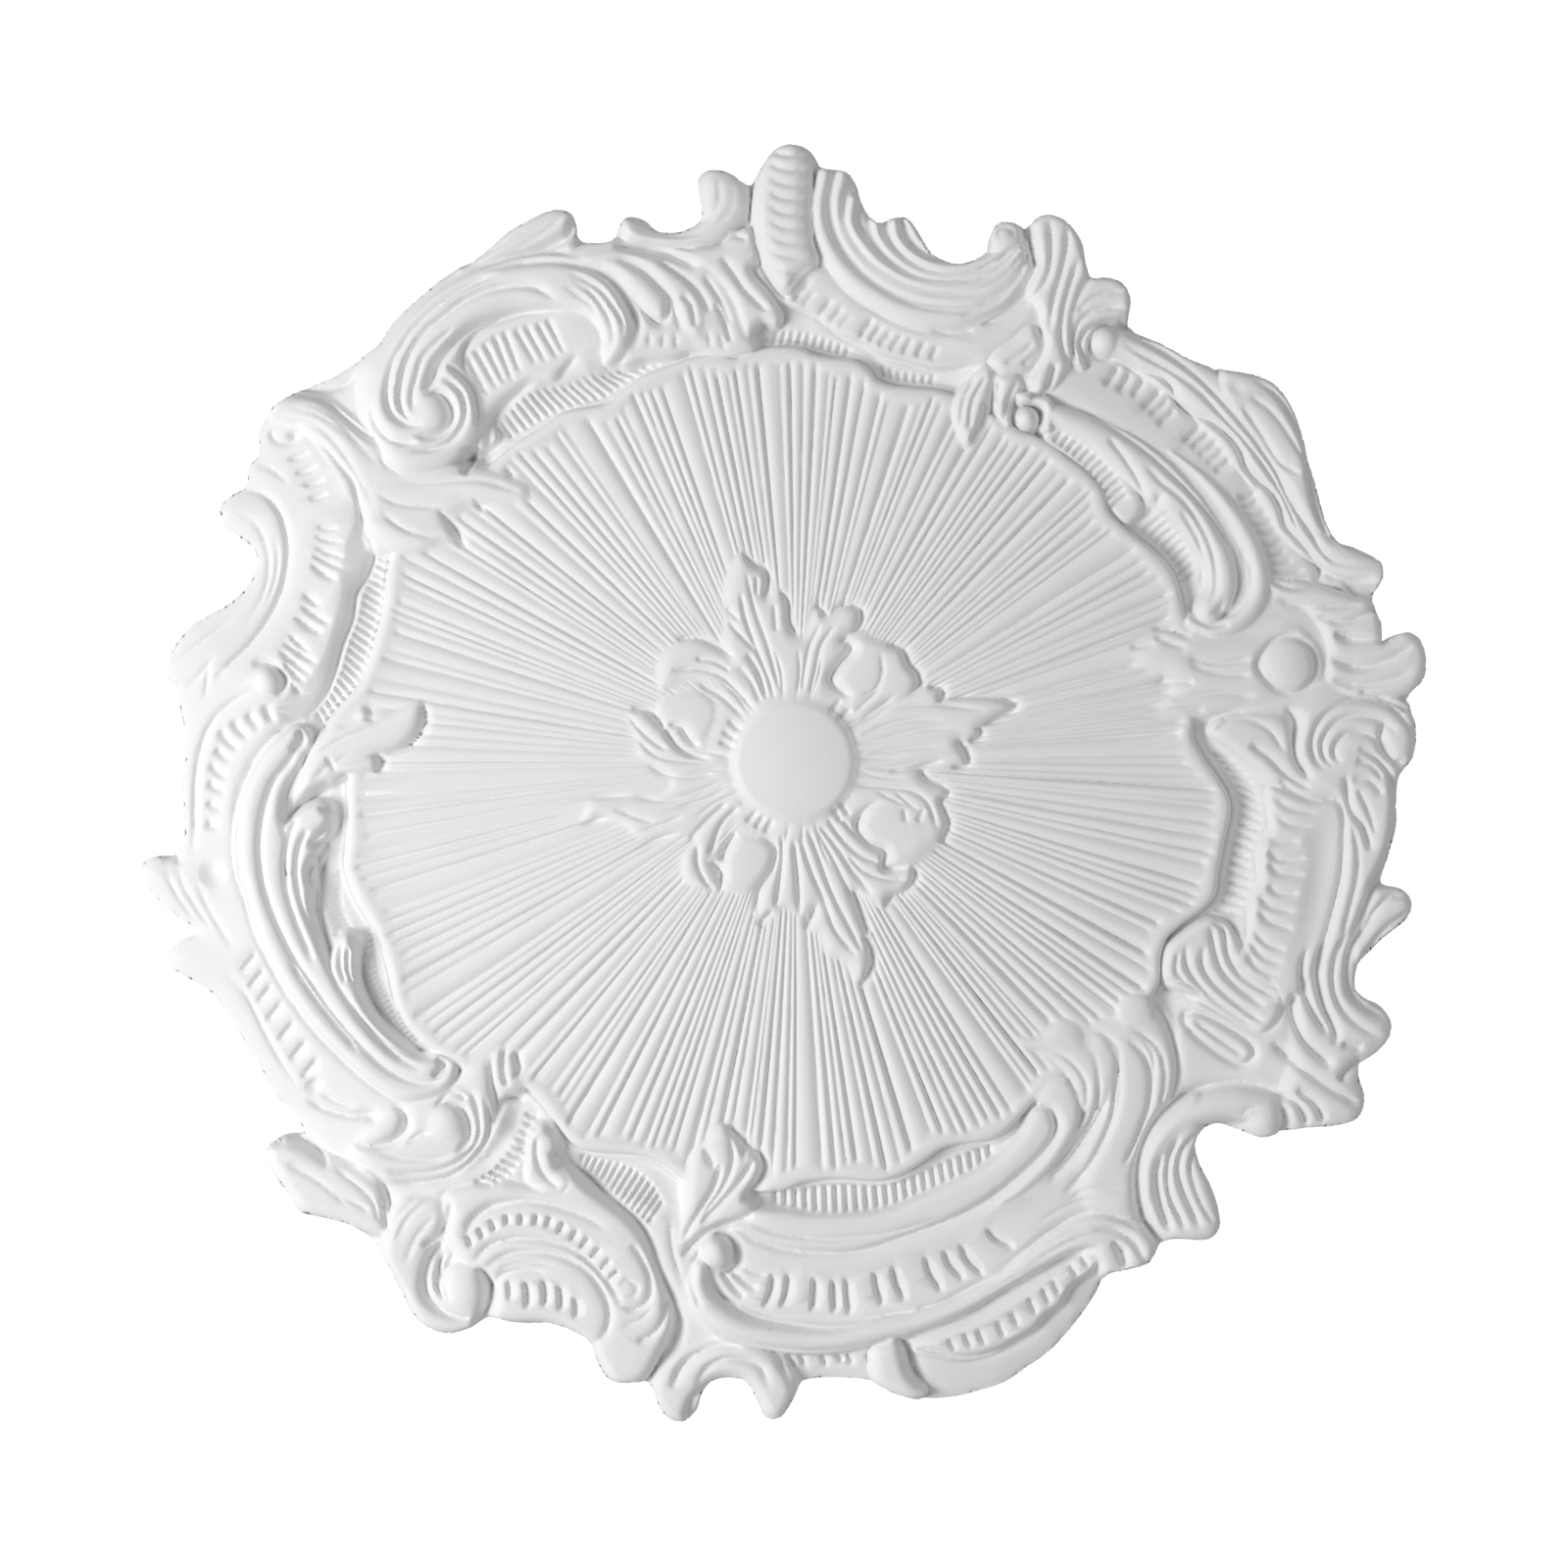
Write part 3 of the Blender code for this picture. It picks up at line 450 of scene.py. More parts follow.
def ground(clay):
    x, y = clay.x, clay.y
    radius = np.hypot(x, y)
    angle = np.arctan2(y, x)
    lip_angle, lip_radius = polar_edge(LIP)
    lip = np.interp(angle, lip_angle, lip_radius)
    turn = np.interp(angle + 0.01, lip_angle, lip_radius) - np.interp(angle - 0.01, lip_angle, lip_radius)
    slant = 1 / np.sqrt(1 + (turn / 0.02 / lip)**2)
    beyond = (radius - lip) * slant
    share = radius / lip
    field = FIELD_MIDDLE + (FIELD_EDGE - FIELD_MIDDLE) * share**2
    flutes = rays(angle, radius, -beyond - LIP_BAND) * soft((radius - 34.0) / 12.0)
    band = 0.8 * np.clip(1 - ((beyond + LIP_BAND / 2) / (LIP_BAND / 2))**2, 0, 1)
    field = field - flutes + band
    across = np.clip((beyond - 4.0) / COVE_WIDTH, 0, 1)
    cove = FIELD_EDGE - LIP_STEP + COVE_RISE * across**1.4
    bead = 1.3 * np.clip(1 - ((beyond - 3.4) / 1.3)**2, 0, 1)
    path = smooth(OUTLINE, 1.5, closed=True)
    rows, cols, offset, _ = clay.near(path, 46.0)
    depth_in = np.full(x.shape, 46.0)
    depth_in[rows, cols] = np.minimum(np.abs(offset), 46.0)
    within = clay.inside(path, slice(None), slice(None))
    deep = np.where(within, depth_in, -depth_in)
    frame = FRAME_RIM + (FRAME_TOP - FRAME_RIM) * np.clip(deep / 45.0, 0, 1)**0.7
    outer = np.minimum(cove + bead, frame)
    drop = soft(beyond / 2.0)
    clay.body = field * (1 - drop) + outer * drop
    clay.beyond = beyond
    clay.deep = deep
    clay.within = within


def boss(clay):
    radius = np.hypot(clay.x, clay.y)
    form = BOSS_TOP - 2.5 * np.clip((radius - 27.5) / 3.5, 0, 1)**2 - 3.0 * np.clip(radius - 31.0, 0, None)
    clay.body = np.maximum(clay.body, form)


def centre_leaves(c):
    """Leaves round the boss, with the flutes that run out from it."""
    # roots of the leaves, round the boss
    c.pad([(-44, -20), (-40, -36), (-20, -44), (0, -46), (20, -44), (34, -34), (46, -10), (46, 10), (36, 30),
           (16, 42), (-8, 44), (-26, 38), (-40, 22), (-46, 0)], 28.5, 9.0, 2.5, 1.5)
    # upper leaf
    c.pad([(-36, -90), (-30, -104), (-26, -107), (-20, -101), (-14, -98), (-12, -91), (-14, -84), (-9, -88),
           (-4, -86), (0, -78), (1, -68), (4, -64), (8, -74), (12, -80), (17, -75), (25, -79), (33, -77), (35, -71),
           (32, -65), (25, -61), (29, -58), (26, -51), (19, -44), (20, -37), (28, -33), (30, -20), (-24, -22),
           (-30, -40), (-38, -56), (-36, -72)], 29.5, 9.0, 3.0)
    c.cuts((1.9, 2.6, 2.4), (3, 4.5, 4.2), [(-27, -107), (-20, -100), (-15, -98), (-13, -92), (-15, -83)],
           [(-7, -87), (-3, -81), (-2, -70), (2, -64)])
    c.cuts((1.9, 2.4, 2.8, 2.4), (2.7, 4.2, 4.8, 4.2), [(18, -76), (27, -80), (34, -77), (34, -70), (29, -64), (23, -61)])
    c.cuts(2.2, 3.6, [(11, -80), (14, -77), (17, -74)])
    c.cuts(1.9, 2.8, [(-27, -86), (-25, -74), (-19, -57), (-13, -42), (-10, -32)],
           [(-28, -48), (-22, -41), (-17, -30)], [(-33, -71), (-27, -64), (-19, -56)])
    c.cuts((2, 2.7, 2), (3, 4.2, 3), [(-24, -55), (-18, -45), (-14, -32)])
    c.cuts(1.9, 2.1, [(-24, -96), (-20, -78), (-13, -58), (-7, -36)], [(-19, -94), (-19, -84)], [(-10, -80), (-9, -66)],
           [(-34, -78), (-28, -72)], [(21, -69), (14, -59), (11, -46), (8, -33)], [(14, -70), (8, -58), (4, -36)])
    # turned tip above the boss, to the right
    c.pad([(27, -62), (34, -66), (42, -63), (48, -60), (56, -57), (60, -49), (64, -44), (63, -36), (58, -31),
           (48, -28), (34, -20), (24, -26), (24, -34), (20, -43), (24, -51), (30, -57)], 29.5, 7.0, 3.0)
    c.cuts((2.2, 3.2, 3.2, 2.4, 1.9), (3.6, 5.4, 5.4, 3.6, 2.4),
           [(26, -61), (29, -57), (23, -49), (19, -42), (22, -37), (30, -33)])
    c.cuts((1.8, 2.8, 2.8, 2.4), (2.4, 4.8, 4.8, 4.2), [(47, -60), (55, -57), (59, -49), (63, -45), (64, -38), (59, -32)])
    c.cuts(1.7, 1.8, [(34, -33), (42, -37), (45, -46), (44, -56)], [(45, -38), (38, -31), (30, -24)],
           [(52, -34), (44, -28), (34, -20)], [(44, -45), (47, -45)], ends=0.25)
    # right leaf
    c.pad([(58, -34), (66, -38), (74, -38), (77, -33), (90, -33), (104, -33), (111, -30), (114, -28), (108, -24),
           (97, -18), (95, -12), (88, -9), (85, -10), (89, -4), (88, 3), (78, 3), (65, 4), (70, 10), (79, 15),
           (77, 20), (79, 28), (79, 33), (75, 42), (60, 52), (40, 34), (24, 20), (26, -16), (40, -26)],
          29.5, 9.0, 3.0)
    c.cuts((1.9, 2.8, 2.2), (3, 4.5, 3.6), [(68, -38), (75, -37), (76, -33), (73, -30)])
    c.cuts((1.8, 2, 2.9, 3.2, 2.4), (2.4, 3, 4.8, 4.8, 3.6),
           [(77, -32), (92, -33), (106, -32), (113, -28), (106, -23), (96, -18)])
    c.cuts((2.2, 2.9, 2.2), (3.6, 4.5, 3), [(94, -18), (95, -13), (89, -10)])
    c.cuts((2.6, 3, 2.2), (4.2, 5.1, 3), [(83, -11), (88, -4), (88, 2), (80, 3)])
    c.cuts((2.8, 2, 2.4, 2.6), (4.5, 3, 3.9, 4.2), [(64, 4), (68, 9), (75, 12), (79, 17), (75, 20), (77, 26), (79, 32),
                                                    (75, 42)], ends=0.05)
    c.cuts(1.7, 2, [(34, -13), (46, -18), (60, -21), (76, -21)], [(34, -8), (48, -12), (64, -16), (84, -17)],
           [(36, -3), (52, -6), (78, -8)], [(36, 4), (50, 3), (64, 0)], [(52, -26), (66, -29), (98, -26)],
           [(42, 15), (50, 19), (57, 22)], [(51, 15), (58, 21), (64, 25)], ends=0.25)
    c.cuts(1.9, 2.6, [(30, 12), (46, 13), (60, 15), (68, 21), (73, 35)], [(76, -1), (64, 3), (48, 5)])
    # lower right leaf and the long one at the foot
    c.pad([(22, 22), (34, 32), (47, 46), (50, 54), (60, 53), (63, 58), (58, 66), (50, 69), (46, 75), (38, 72),
           (32, 66), (36, 78), (39, 87), (41, 98), (39, 109), (33, 116), (27, 104), (16, 98), (12, 88), (6, 86),
           (9, 80), (12, 74), (4, 80), (-4, 76), (-10, 80), (-17, 83), (-21, 76), (-18, 64), (-12, 52), (-12, 32)],
          29.5, 9.0, 3.0)
    c.cuts((2.6, 2.9, 2.4, 2.6), (4.5, 4.8, 3.6, 4.2), [(60, 53), (62, 58), (57, 66), (50, 69), (46, 74)])
    c.cuts((2.4, 3, 2.6), (4.2, 5.1, 4.2), [(30, 65), (33, 74), (36, 83), (38, 88)],
           [(35, 88), (39, 95), (40, 102), (37, 110), (32, 116)])
    c.cuts(2, 3, [(17, 29), (24, 39), (34, 48), (45, 52)], [(13, 33), (22, 44), (30, 56), (40, 68)],
           [(7, 34), (13, 50), (19, 66), (27, 82), (35, 97)], [(3, 38), (9, 56), (15, 70), (21, 86), (32, 99)])
    c.cuts(1.9, 2.6, [(24, 29), (30, 36), (40, 44)], [(27, 48), (36, 56), (48, 60), (58, 60)], [(11, 34), (19, 48), (32, 74)])
    c.cuts((2, 2.8, 2.6), (3, 4.2, 3.6), [(0, 40), (2, 60), (3, 78)], [(-6, 37), (-6, 50), (-9, 74)])
    c.cuts((1.9, 2.4), (3, 4.2), [(12, 73), (9, 79), (6, 86)], [(-10, 76), (-14, 79), (-18, 84)], ends=0.25)
    # turned tips at both sides of the foot leaf
    c.pad([(32, 34), (36, 25), (44, 20), (56, 22), (66, 26), (70, 38), (66, 48), (60, 53), (50, 54), (46, 46),
           (38, 42)], 29.5, 7.0, 3.0)
    c.cuts((1.8, 2.4, 2.9, 2.6, 3.3, 2.2), (2.4, 3.9, 4.8, 4.2, 5.4, 3),
           [(45, 20), (36, 25), (32, 34), (38, 42), (46, 46), (46, 54), (58, 54)])
    c.cuts(1.8, 2.1, [(56, 24), (57, 31)], [(66, 24), (63, 31)])
    c.pad([(-34, 42), (-27, 37), (-16, 38), (-9, 44), (-10, 54), (-17, 64), (-24, 68), (-38, 65), (-37, 56),
           (-37, 48)], 29.5, 7.0, 3.0)
    c.cuts((2.2, 3.2, 2.9), (3.6, 5.4, 4.8), [(-29, 36), (-34, 43), (-37, 51)], [(-42, 51), (-37, 57), (-38, 63), (-42, 65)])
    c.cuts((1.8, 2.4, 2.6), (2.4, 3.6, 4.2), [(-17, 38), (-9, 44), (-11, 55), (-18, 66), (-19, 77)])
    # left leaves
    c.pad([(-24, 22), (-34, 36), (-42, 50), (-38, 66), (-48, 66), (-57, 60), (-58, 48), (-52, 40), (-64, 40),
           (-78, 40), (-86, 34), (-98, 29), (-108, 32), (-104, 20), (-90, 17), (-78, 17), (-66, 14), (-64, 9),
           (-72, 3), (-80, -2), (-82, -12), (-86, -22), (-83, -26), (-75, -26), (-67, -19), (-60, -12),
           (-50, -5), (-36, -6), (-28, 8)], 29.2, 6.0, 3.0)
    c.cuts(1.9, 2.6, [(-104, 19), (-94, 18), (-84, 17)], [(-109, 33), (-102, 31), (-95, 29)],
           [(-58, 36), (-68, 39), (-78, 43)], ends=0.4)
    c.cuts(2.1, 3.2, [(-34, 21), (-44, 30), (-53, 40)], [(-28, 23), (-37, 32), (-43, 47)])
    c.cuts(2, 3, [(-49, 42), (-49, 52), (-45, 61), (-40, 66)])
    c.cuts(1.8, 2, [(-34, 14), (-44, 19), (-60, 24)], [(-36, 10), (-48, 15), (-60, 19)], [(-56, 28), (-72, 34), (-80, 36)],
           [(-80, 18), (-68, 20), (-52, 18)], [(-92, 24), (-78, 29), (-70, 31)], ends=0.25)
    c.cuts(1.9, 2.4, [(-84, -23), (-77, -15), (-70, -9), (-64, -6)], [(-80, -12), (-70, -3), (-56, 0), (-44, 0)],
           [(-74, 2), (-66, 6), (-54, 8), (-40, 6)])
    c.pad([(-24, -24), (-32, -34), (-42, -38), (-54, -40), (-68, -34), (-71, -46), (-68, -55), (-60, -61), (-50, -63),
           (-40, -60), (-30, -53), (-24, -46), (-16, -32)], 29.5, 9.0, 3.0)
    c.cuts(2.1, 3, [(-60, -62), (-50, -63), (-40, -59), (-30, -53)], [(-62, -46), (-50, -47), (-38, -44), (-29, -36),
                                                                    (-20, -26)])
    c.cuts(1.9, 2.3, [(-50, -52), (-41, -51), (-32, -46)], [(-48, -39), (-38, -34), (-26, -23)])
    c.pad([(-68, -31), (-58, -35), (-48, -35), (-41, -30), (-40, -22), (-45, -12), (-49, -7), (-56, -14), (-64, -20),
           (-70, -24)], 29.0, 4.0, 1.5)
    c.cuts((2, 2.9, 2.4), (3, 4.8, 4.2), [(-83, -27), (-75, -26), (-69, -21), (-66, -16)],
           [(-64, -19), (-58, -18), (-53, -11), (-48, -8)])
    c.cuts((2.2, 2.6, 2.6, 2), (3.6, 4.5, 4.2, 3), [(-66, -17), (-60, -8), (-52, -3), (-42, -1)])
    # short ribs against the boss
    for angle in (-150, -159, -167, 110, 118, 126, 42, 50, -54, -44):
        c.cut([polar(31.5, angle), polar(39.5, angle + 2)], 2.0, 3.0, 0.2)
    for angle in (-140, -133, -100, -88, -76, -30, -16, -4, 8, 70, 82, 94, 150, 160, 172, 184):
        c.cut([polar(31.5, angle), polar(46.0, angle + 2), polar(58.0, angle)], 1.6, 1.6, 0.3)


def polar(radius, degrees):
    return (radius * math.cos(math.radians(degrees)), radius * math.sin(math.radians(degrees)))


def crest(c):
    # curled lobe on the left with the strand that it ends in
    c.pad([(-47, -297), (-41, -302), (-31, -300), (-24, -292), (-23, -282), (-29, -272), (-40, -264),
           (-60, -260), (-86, -264), (-86, -276), (-70, -270), (-56, -270), (-47, -277), (-48, -288)],
          27.5, 9.0, 5.0)
    for knots in ([(-32, -296), (-31, -284), (-38, -274), (-52, -268), (-84, -270)],
                  [(-39, -299), (-38, -286), (-42, -278), (-56, -271)]):
        c.cut(knots, 2.2, 1.4, 0.3)
    # zigzag leaf
    c.pad([(-90, -262), (-60, -262), (-38, -263), (-31, -269), (-22, -272), (-16, -266), (-17, -256),
           (-22, -251), (-14, -240), (-6, -228), (-9, -222), (-16, -224), (-24, -216), (-32, -236),
           (-46, -250), (-66, -259)], 27.5, 5.0, 3.5, 4.0, 2.0)
    c.cut([(-37, -257), (-31, -249), (-24, -239), (-13, -229)], 2.8, 3.6)
    c.cut([(-31, -268), (-24, -266)], 2.2, 2.4)
    # ribbed column
    c.pad([(-18, -299), (-12, -310), (-3, -315), (4, -314), (9, -308), (9, -296), (9, -280), (10, -266),
           (12, -254), (4, -246), (-4, -238), (-14, -250), (-18, -262), (-21, -280)], 31.0, 10.0, 6.0, 4.0, 3.0)
    for i in range(9):
        y = -310 + i * 7.4
        c.cut([(-14, y - 3), (-7, y + 1), (1, y + 2), (8, y - 2 + 0.3 * i)], 2.6, 2.6 - 0.12 * i, 0.25)


def top_band(c):
    """Gadroons and steps over the top of the field."""
    c.pad([(-2, -240), (10, -252), (24, -247), (36, -234), (54, -225), (78, -220), (96, -218),
           (96, -206), (76, -201), (58, -205), (44, -209), (36, -214), (24, -219), (10, -229), (-4, -234)],
          23.0, 3.0, 1.5, 3.0, 1.5)
    for place, lean, long, deep in ((0, 9, 11, 3.6), (5, 7, 8, 2.0), (14, 8, 10, 3.2), (20, 8, 9, 2.6),
                                    (25, 7, 7, 1.6), (36, 8, 11, 3.6), (41, 8, 10, 3.0), (46, 8, 9, 2.6),
                                    (52, 7, 9, 2.4), (58, 6, 9, 2.6), (65, 5, 9, 2.8), (72, 4, 8, 2.4)):
        base = at_share([(-2, -236), (14, -225), (36, -214), (52, -208), (76, -203)], (place + 2) / 80)
        c.cut([base, (base[0] + lean, base[1] - long)], 2.4, deep, 0.25)
    c.rungs([(-10, -222), (8, -220), (30, -212)], [(-13, -213), (6, -212), (28, -206)], 10, 1.6, 3.0)
    c.rungs([(43, -204), (56, -200), (74, -198)], [(44, -197), (56, -194), (72, -193)], 7, 1.6, 2.8)


def top_shell(c):
    """Shell of plump strands that fan up to the scalloped edge."""
    c.pad([(11, -290), (14, -302), (23, -303), (30, -298), (34, -287), (40, -278), (50, -276), (58, -277),
           (66, -266), (76, -257), (92, -255), (110, -262), (122, -268), (124, -248), (112, -232),
           (92, -222), (74, -219), (56, -224), (38, -233), (24, -247), (13, -254), (11, -270)],
          24.0, 6.0, 4.0)
    strands = (
        ([(16, -299), (13, -280), (17, -264), (28, -248), (44, -236), (64, -228), (88, -228), (106, -237), (118, -252)],
         (4, 4, 5, 6, 6, 7, 7, 6, 3), 27.5),
        ([(25, -299), (22, -284), (26, -268), (36, -254), (50, -244), (68, -237), (90, -236), (106, -244), (117, -256)],
         (4, 3.5, 4, 4, 4.5, 5, 5, 4, 2.4), 27.0),
        ([(30, -286), (29, -274), (36, -262), (46, -252), (60, -245), (76, -242), (94, -243), (107, -250), (116, -260)],
         (3, 3, 3.4, 3.4, 3.5, 3.6, 3.6, 3, 2), 28.0),
        ([(41, -276), (44, -266), (53, -256), (66, -249), (80, -247), (96, -249), (107, -255), (115, -263)],
         (2, 3, 3, 3, 3, 3, 2.5, 2), 27.0),
        ([(51, -275), (53, -266), (62, -257), (76, -252), (92, -253), (104, -258), (113, -266)],
         (3, 3, 3, 3, 3, 2.5, 2), 28.0),
        ([(58, -276), (64, -265), (76, -258), (90, -257), (100, -262)], (3, 3.4, 3, 2.6, 2), 26.0))
    for knots, width, top in strands:
        c.lay(knots, width, top, 1, 0, 4.5, 4.0, False, 1.0)
    c.ball(107, -267, 8.5, 29.0, 3.5)
    c.cuts(1.8, 2.4, [(103, -265), (105, -270), (110, -271), (112, -266)], ends=0.3)
    c.cuts((2.4, 3.4, 2.6), (3.0, 4.0, 2.0), [(119, -268), (119, -258), (114, -246), (104, -237), (92, -231)])
    c.cuts(2.4, 2.4, [(125, -247), (111, -234), (94, -225), (80, -220)], [(128, -243), (118, -232), (103, -221), (89, -214)],
           [(130, -234), (123, -225), (111, -216), (102, -210)], ends=0.3)


def s_leaf(c):
    """Tall leaf at the top right with the bead beside it."""
    c.pad([(121, -273), (126, -278), (132, -279), (140, -275), (146, -266), (149, -255), (150, -248),
           (146, -240), (142, -226), (143, -210), (139, -200), (132, -190), (123, -186), (121, -195),
           (126, -208), (126, -228), (120, -238), (124, -252)], 29.0, 5.0, 4.0)
    c.cuts(3.0, 5.5, [(120, -274), (121, -262), (124, -252)], [(133, -203), (131, -195), (128, -188), (121, -185)])
    c.cuts(2.6, 3.8, [(130, -277), (131, -262), (130, -250), (126, -241), (118, -233), (108, -226), (99, -221)],
           [(139, -273), (139, -262), (136, -248), (132, -234), (130, -218)],
           [(145, -256), (140, -240), (137, -228), (136, -216), (138, -207), (141, -202)])
    c.cuts(2.2, 2.6, [(129, -216), (127, -206), (121, -194)])
    c.pad([(150, -246), (156, -247), (165, -246), (171, -240), (172, -232), (169, -226), (158, -223),
           (150, -212), (148, -200), (142, -203), (139, -214), (141, -230)], 27.0, 5.0, 4.0)
    c.cuts(2.4, 2.8, [(169, -240), (158, -238), (150, -234), (144, -228)])
    c.cuts(2.6, 3.6, [(170, -231), (158, -231), (149, -227), (143, -219), (142, -210), (145, -203)])
    c.cuts(3.0, 4.8, [(169, -225), (160, -224), (151, -221), (146, -214), (147, -207), (151, -200)])
    c.ball(159, -214, 6.8, 29.0, 3.6, 2.8)
    c.cuts(3.2, 5.5, [(165, -226), (172, -222)])


def hook_and_pendant(c):
    """Turned leaf tip and the two leaves that hang over the field."""
    c.pad([(76, -221), (96, -224), (112, -232), (124, -240), (128, -226), (127, -206), (121, -194),
           (110, -196), (99, -200), (84, -204), (74, -208)], 25.0, 14.0, 4.0, 2.0)
    c.cuts(2.4, 2.4, [(119, -256), (114, -245), (104, -235), (94, -230), (84, -227)],
           [(128, -242), (120, -235), (108, -227), (96, -223)], [(70, -220), (80, -218), (92, -220)])
    c.pad([(121, -222), (112, -214), (103, -208), (100, -203), (103, -198), (110, -197), (118, -199),
           (125, -205), (127, -214)], 28.0, 6.0, 4.0, 4.0, 1.5)
    c.cuts(2.0, 1.8, [(122, -213), (114, -206), (107, -202)], [(124, -208), (116, -202)])
    c.pad([(98, -202), (90, -195), (83, -187), (81, -178), (83, -169), (88, -160), (95, -167),
           (99, -178), (101, -190), (103, -198)], 27.5, 6.0, 4.0, 4.0, 0.5)
    c.cuts(2.2, 2.6, [(93, -196), (87, -185), (85, -171)], [(98, -196), (91, -183), (89, -168)])
    c.cuts((2.4, 4.0, 2.0), (3.0, 4.6, 2.5), [(98, -184), (96, -173), (90, -163)])
    c.pad([(103, -197), (113, -197), (116, -190), (110, -182), (110, -171), (104, -177), (102, -188)],
          27.0, 5.0, 3.0, 3.0, 0.5)
    c.cuts(2.6, 3.0, [(105, -194), (103, -183)], [(114, -194), (109, -184), (107, -173)])
    c.lay([(117, -185), (125, -185), (130, -180), (129, -171)], 2.8, 27.5, 1, 0, 2.5, 4.0, False, 1.5)
    c.ball(119, -175, 6.0, 28.5, 5.0, 2.0)
    c.cuts(3.0, 4.8, [(119, -183), (126, -177), (125, -166)], [(120, -186), (128, -187)])


def right_top(c):
    """Right shoulder: strands along the edge, gadroons on the wall and the C scroll inside."""
    c.lay([(166, -213), (198, -197), (222, -175), (242, -148), (258, -120), (282, -102), (300, -94)],
          (6, 10, 12, 12, 9, 8, 6), 26.5, 1, 0, 3.0, 4.0)
    c.pad([(218, -199), (236, -197), (247, -191), (255, -179), (261, -163), (265, -142), (270, -125),
           (277, -113), (262, -118), (250, -140), (236, -162), (218, -184)], 28.0, 6.0, 4.0, 4.0)
    c.cuts(3.4, 6.0, [(166, -206), (176, -200), (186, -197), (192, -192), (197, -183), (204, -177),
                      (212, -174), (222, -166), (228, -158), (231, -150), (237, -143), (243, -138),
                      (248, -130), (251, -120), (258, -112), (265, -104), (269, -98), (267, -91)], ends=0.04)
    c.cuts(2.6, 3.8,
           [(168, -212), (190, -200), (205, -190), (218, -176), (230, -163), (240, -150), (250, -133), (258, -115)],
           [(169, -218), (186, -210), (203, -198), (220, -181), (235, -163), (245, -148), (254, -130),
            (262, -118), (272, -104), (285, -100), (299, -100)],
           [(228, -181), (238, -167), (248, -152), (258, -146)],
           [(234, -194), (245, -187), (254, -174), (260, -160), (263, -140), (268, -122), (277, -110)])
    c.cuts(2.2, 2.4, [(232, -186), (243, -178), (252, -166), (260, -153)],
           [(268, -98), (280, -93), (296, -93)])
    c.dish([(220, -193), (225, -190), (230, -187)], (3.0, 4.0, 3.0), 1.6, 0.5)
    for start, end, deep in (((166, -203), (158, -192), 4.4), ((172, -200), (165, -189), 4.0),
                             ((179, -197), (172, -186), 3.4), ((188, -191), (177, -180), 4.4),
                             ((192, -186), (181, -177), 3.2), ((195, -181), (185, -172), 3.6),
                             ((208, -173), (198, -163), 4.4), ((213, -169), (202, -160), 3.6),
                             ((217, -165), (206, -156), 2.8), ((220, -160), (210, -152), 2.6),
                             ((223, -155), (214, -148), 3.0), ((238, -139), (226, -134), 4.0),
                             ((238, -134), (228, -130), 3.4), ((243, -128), (230, -126), 2.0),
                             ((246, -123), (231, -121), 2.6), ((248, -118), (234, -117), 2.6),
                             ((251, -113), (236, -110), 2.4), ((252, -108), (238, -105), 2.8),
                             ((256, -103), (239, -101), 2.4), ((262, -98), (241, -97), 2.6),
                             ((264, -92), (246, -93), 2.0)):
        c.cut([start, ((start[0] + end[0]) / 2 + 1, (start[1] + end[1]) / 2 + 1), end], 2.6, deep, 0.2)
    # C scroll
    c.lay([(134, -176), (152, -168), (172, -155), (190, -139), (206, -121), (217, -103), (219, -88), (212, -77)],
          (5, 7, 9, 10, 9, 8, 7, 6), 27.8, 1, 0, 3.0, 3.0)
    c.lay([(192, -158), (208, -145), (221, -130), (231, -114), (236, -99), (236, -85), (228, -73), (215, -67), (203, -71)],
          (1.5, 2.2, 3, 3.6, 4.4, 5, 5, 4, 3), (24, 25, 25.8, 26.4, 26.8, 27, 27, 27, 26.5), 1, 0, 2.5, 2.5)
    c.cuts(2.2, 3.2, [(131, -184), (145, -180), (160, -171), (176, -160), (190, -148), (204, -134), (215, -120),
                      (224, -104), (227, -90), (223, -79)], ends=0.05)
    c.cuts(2.4, 3.0, [(179, -151), (186, -143), (198, -133), (208, -118), (214, -103), (215, -88), (211, -80)],
           [(160, -165), (170, -152), (177, -140), (178, -131)],
           [(228, -110), (233, -98), (232, -86), (224, -76), (214, -74)],
           [(201, -74), (212, -69), (222, -70)], [(205, -66), (212, -62), (222, -62)],
           [(197, -128), (206, -113), (210, -97), (208, -90)])
    c.cuts((2.0, 4.0), (2.0, 4.5), [(176, -124), (184, -129), (187, -137)])
    c.pad([(131, -170), (142, -169), (156, -160), (170, -144), (177, -130), (170, -122), (160, -132),
           (152, -146), (140, -156), (128, -163)], 22.0, 3.0, 1.0)
    c.rungs([(136, -170), (152, -161), (166, -146), (172, -134)], [(131, -164), (145, -153), (156, -139), (162, -128)],
            12, 1.8, 3.6, 0.2)
    c.rungs([(190, -129), (202, -114), (207, -96)], [(176, -118), (188, -107), (197, -89)], 9, 1.9, 3.0, 0.2)
    c.cuts((1.6, 2.6, 1.6), (1.5, 3.4, 1.5), [(210, -74), (216, -77), (220, -84)], ends=0.4)


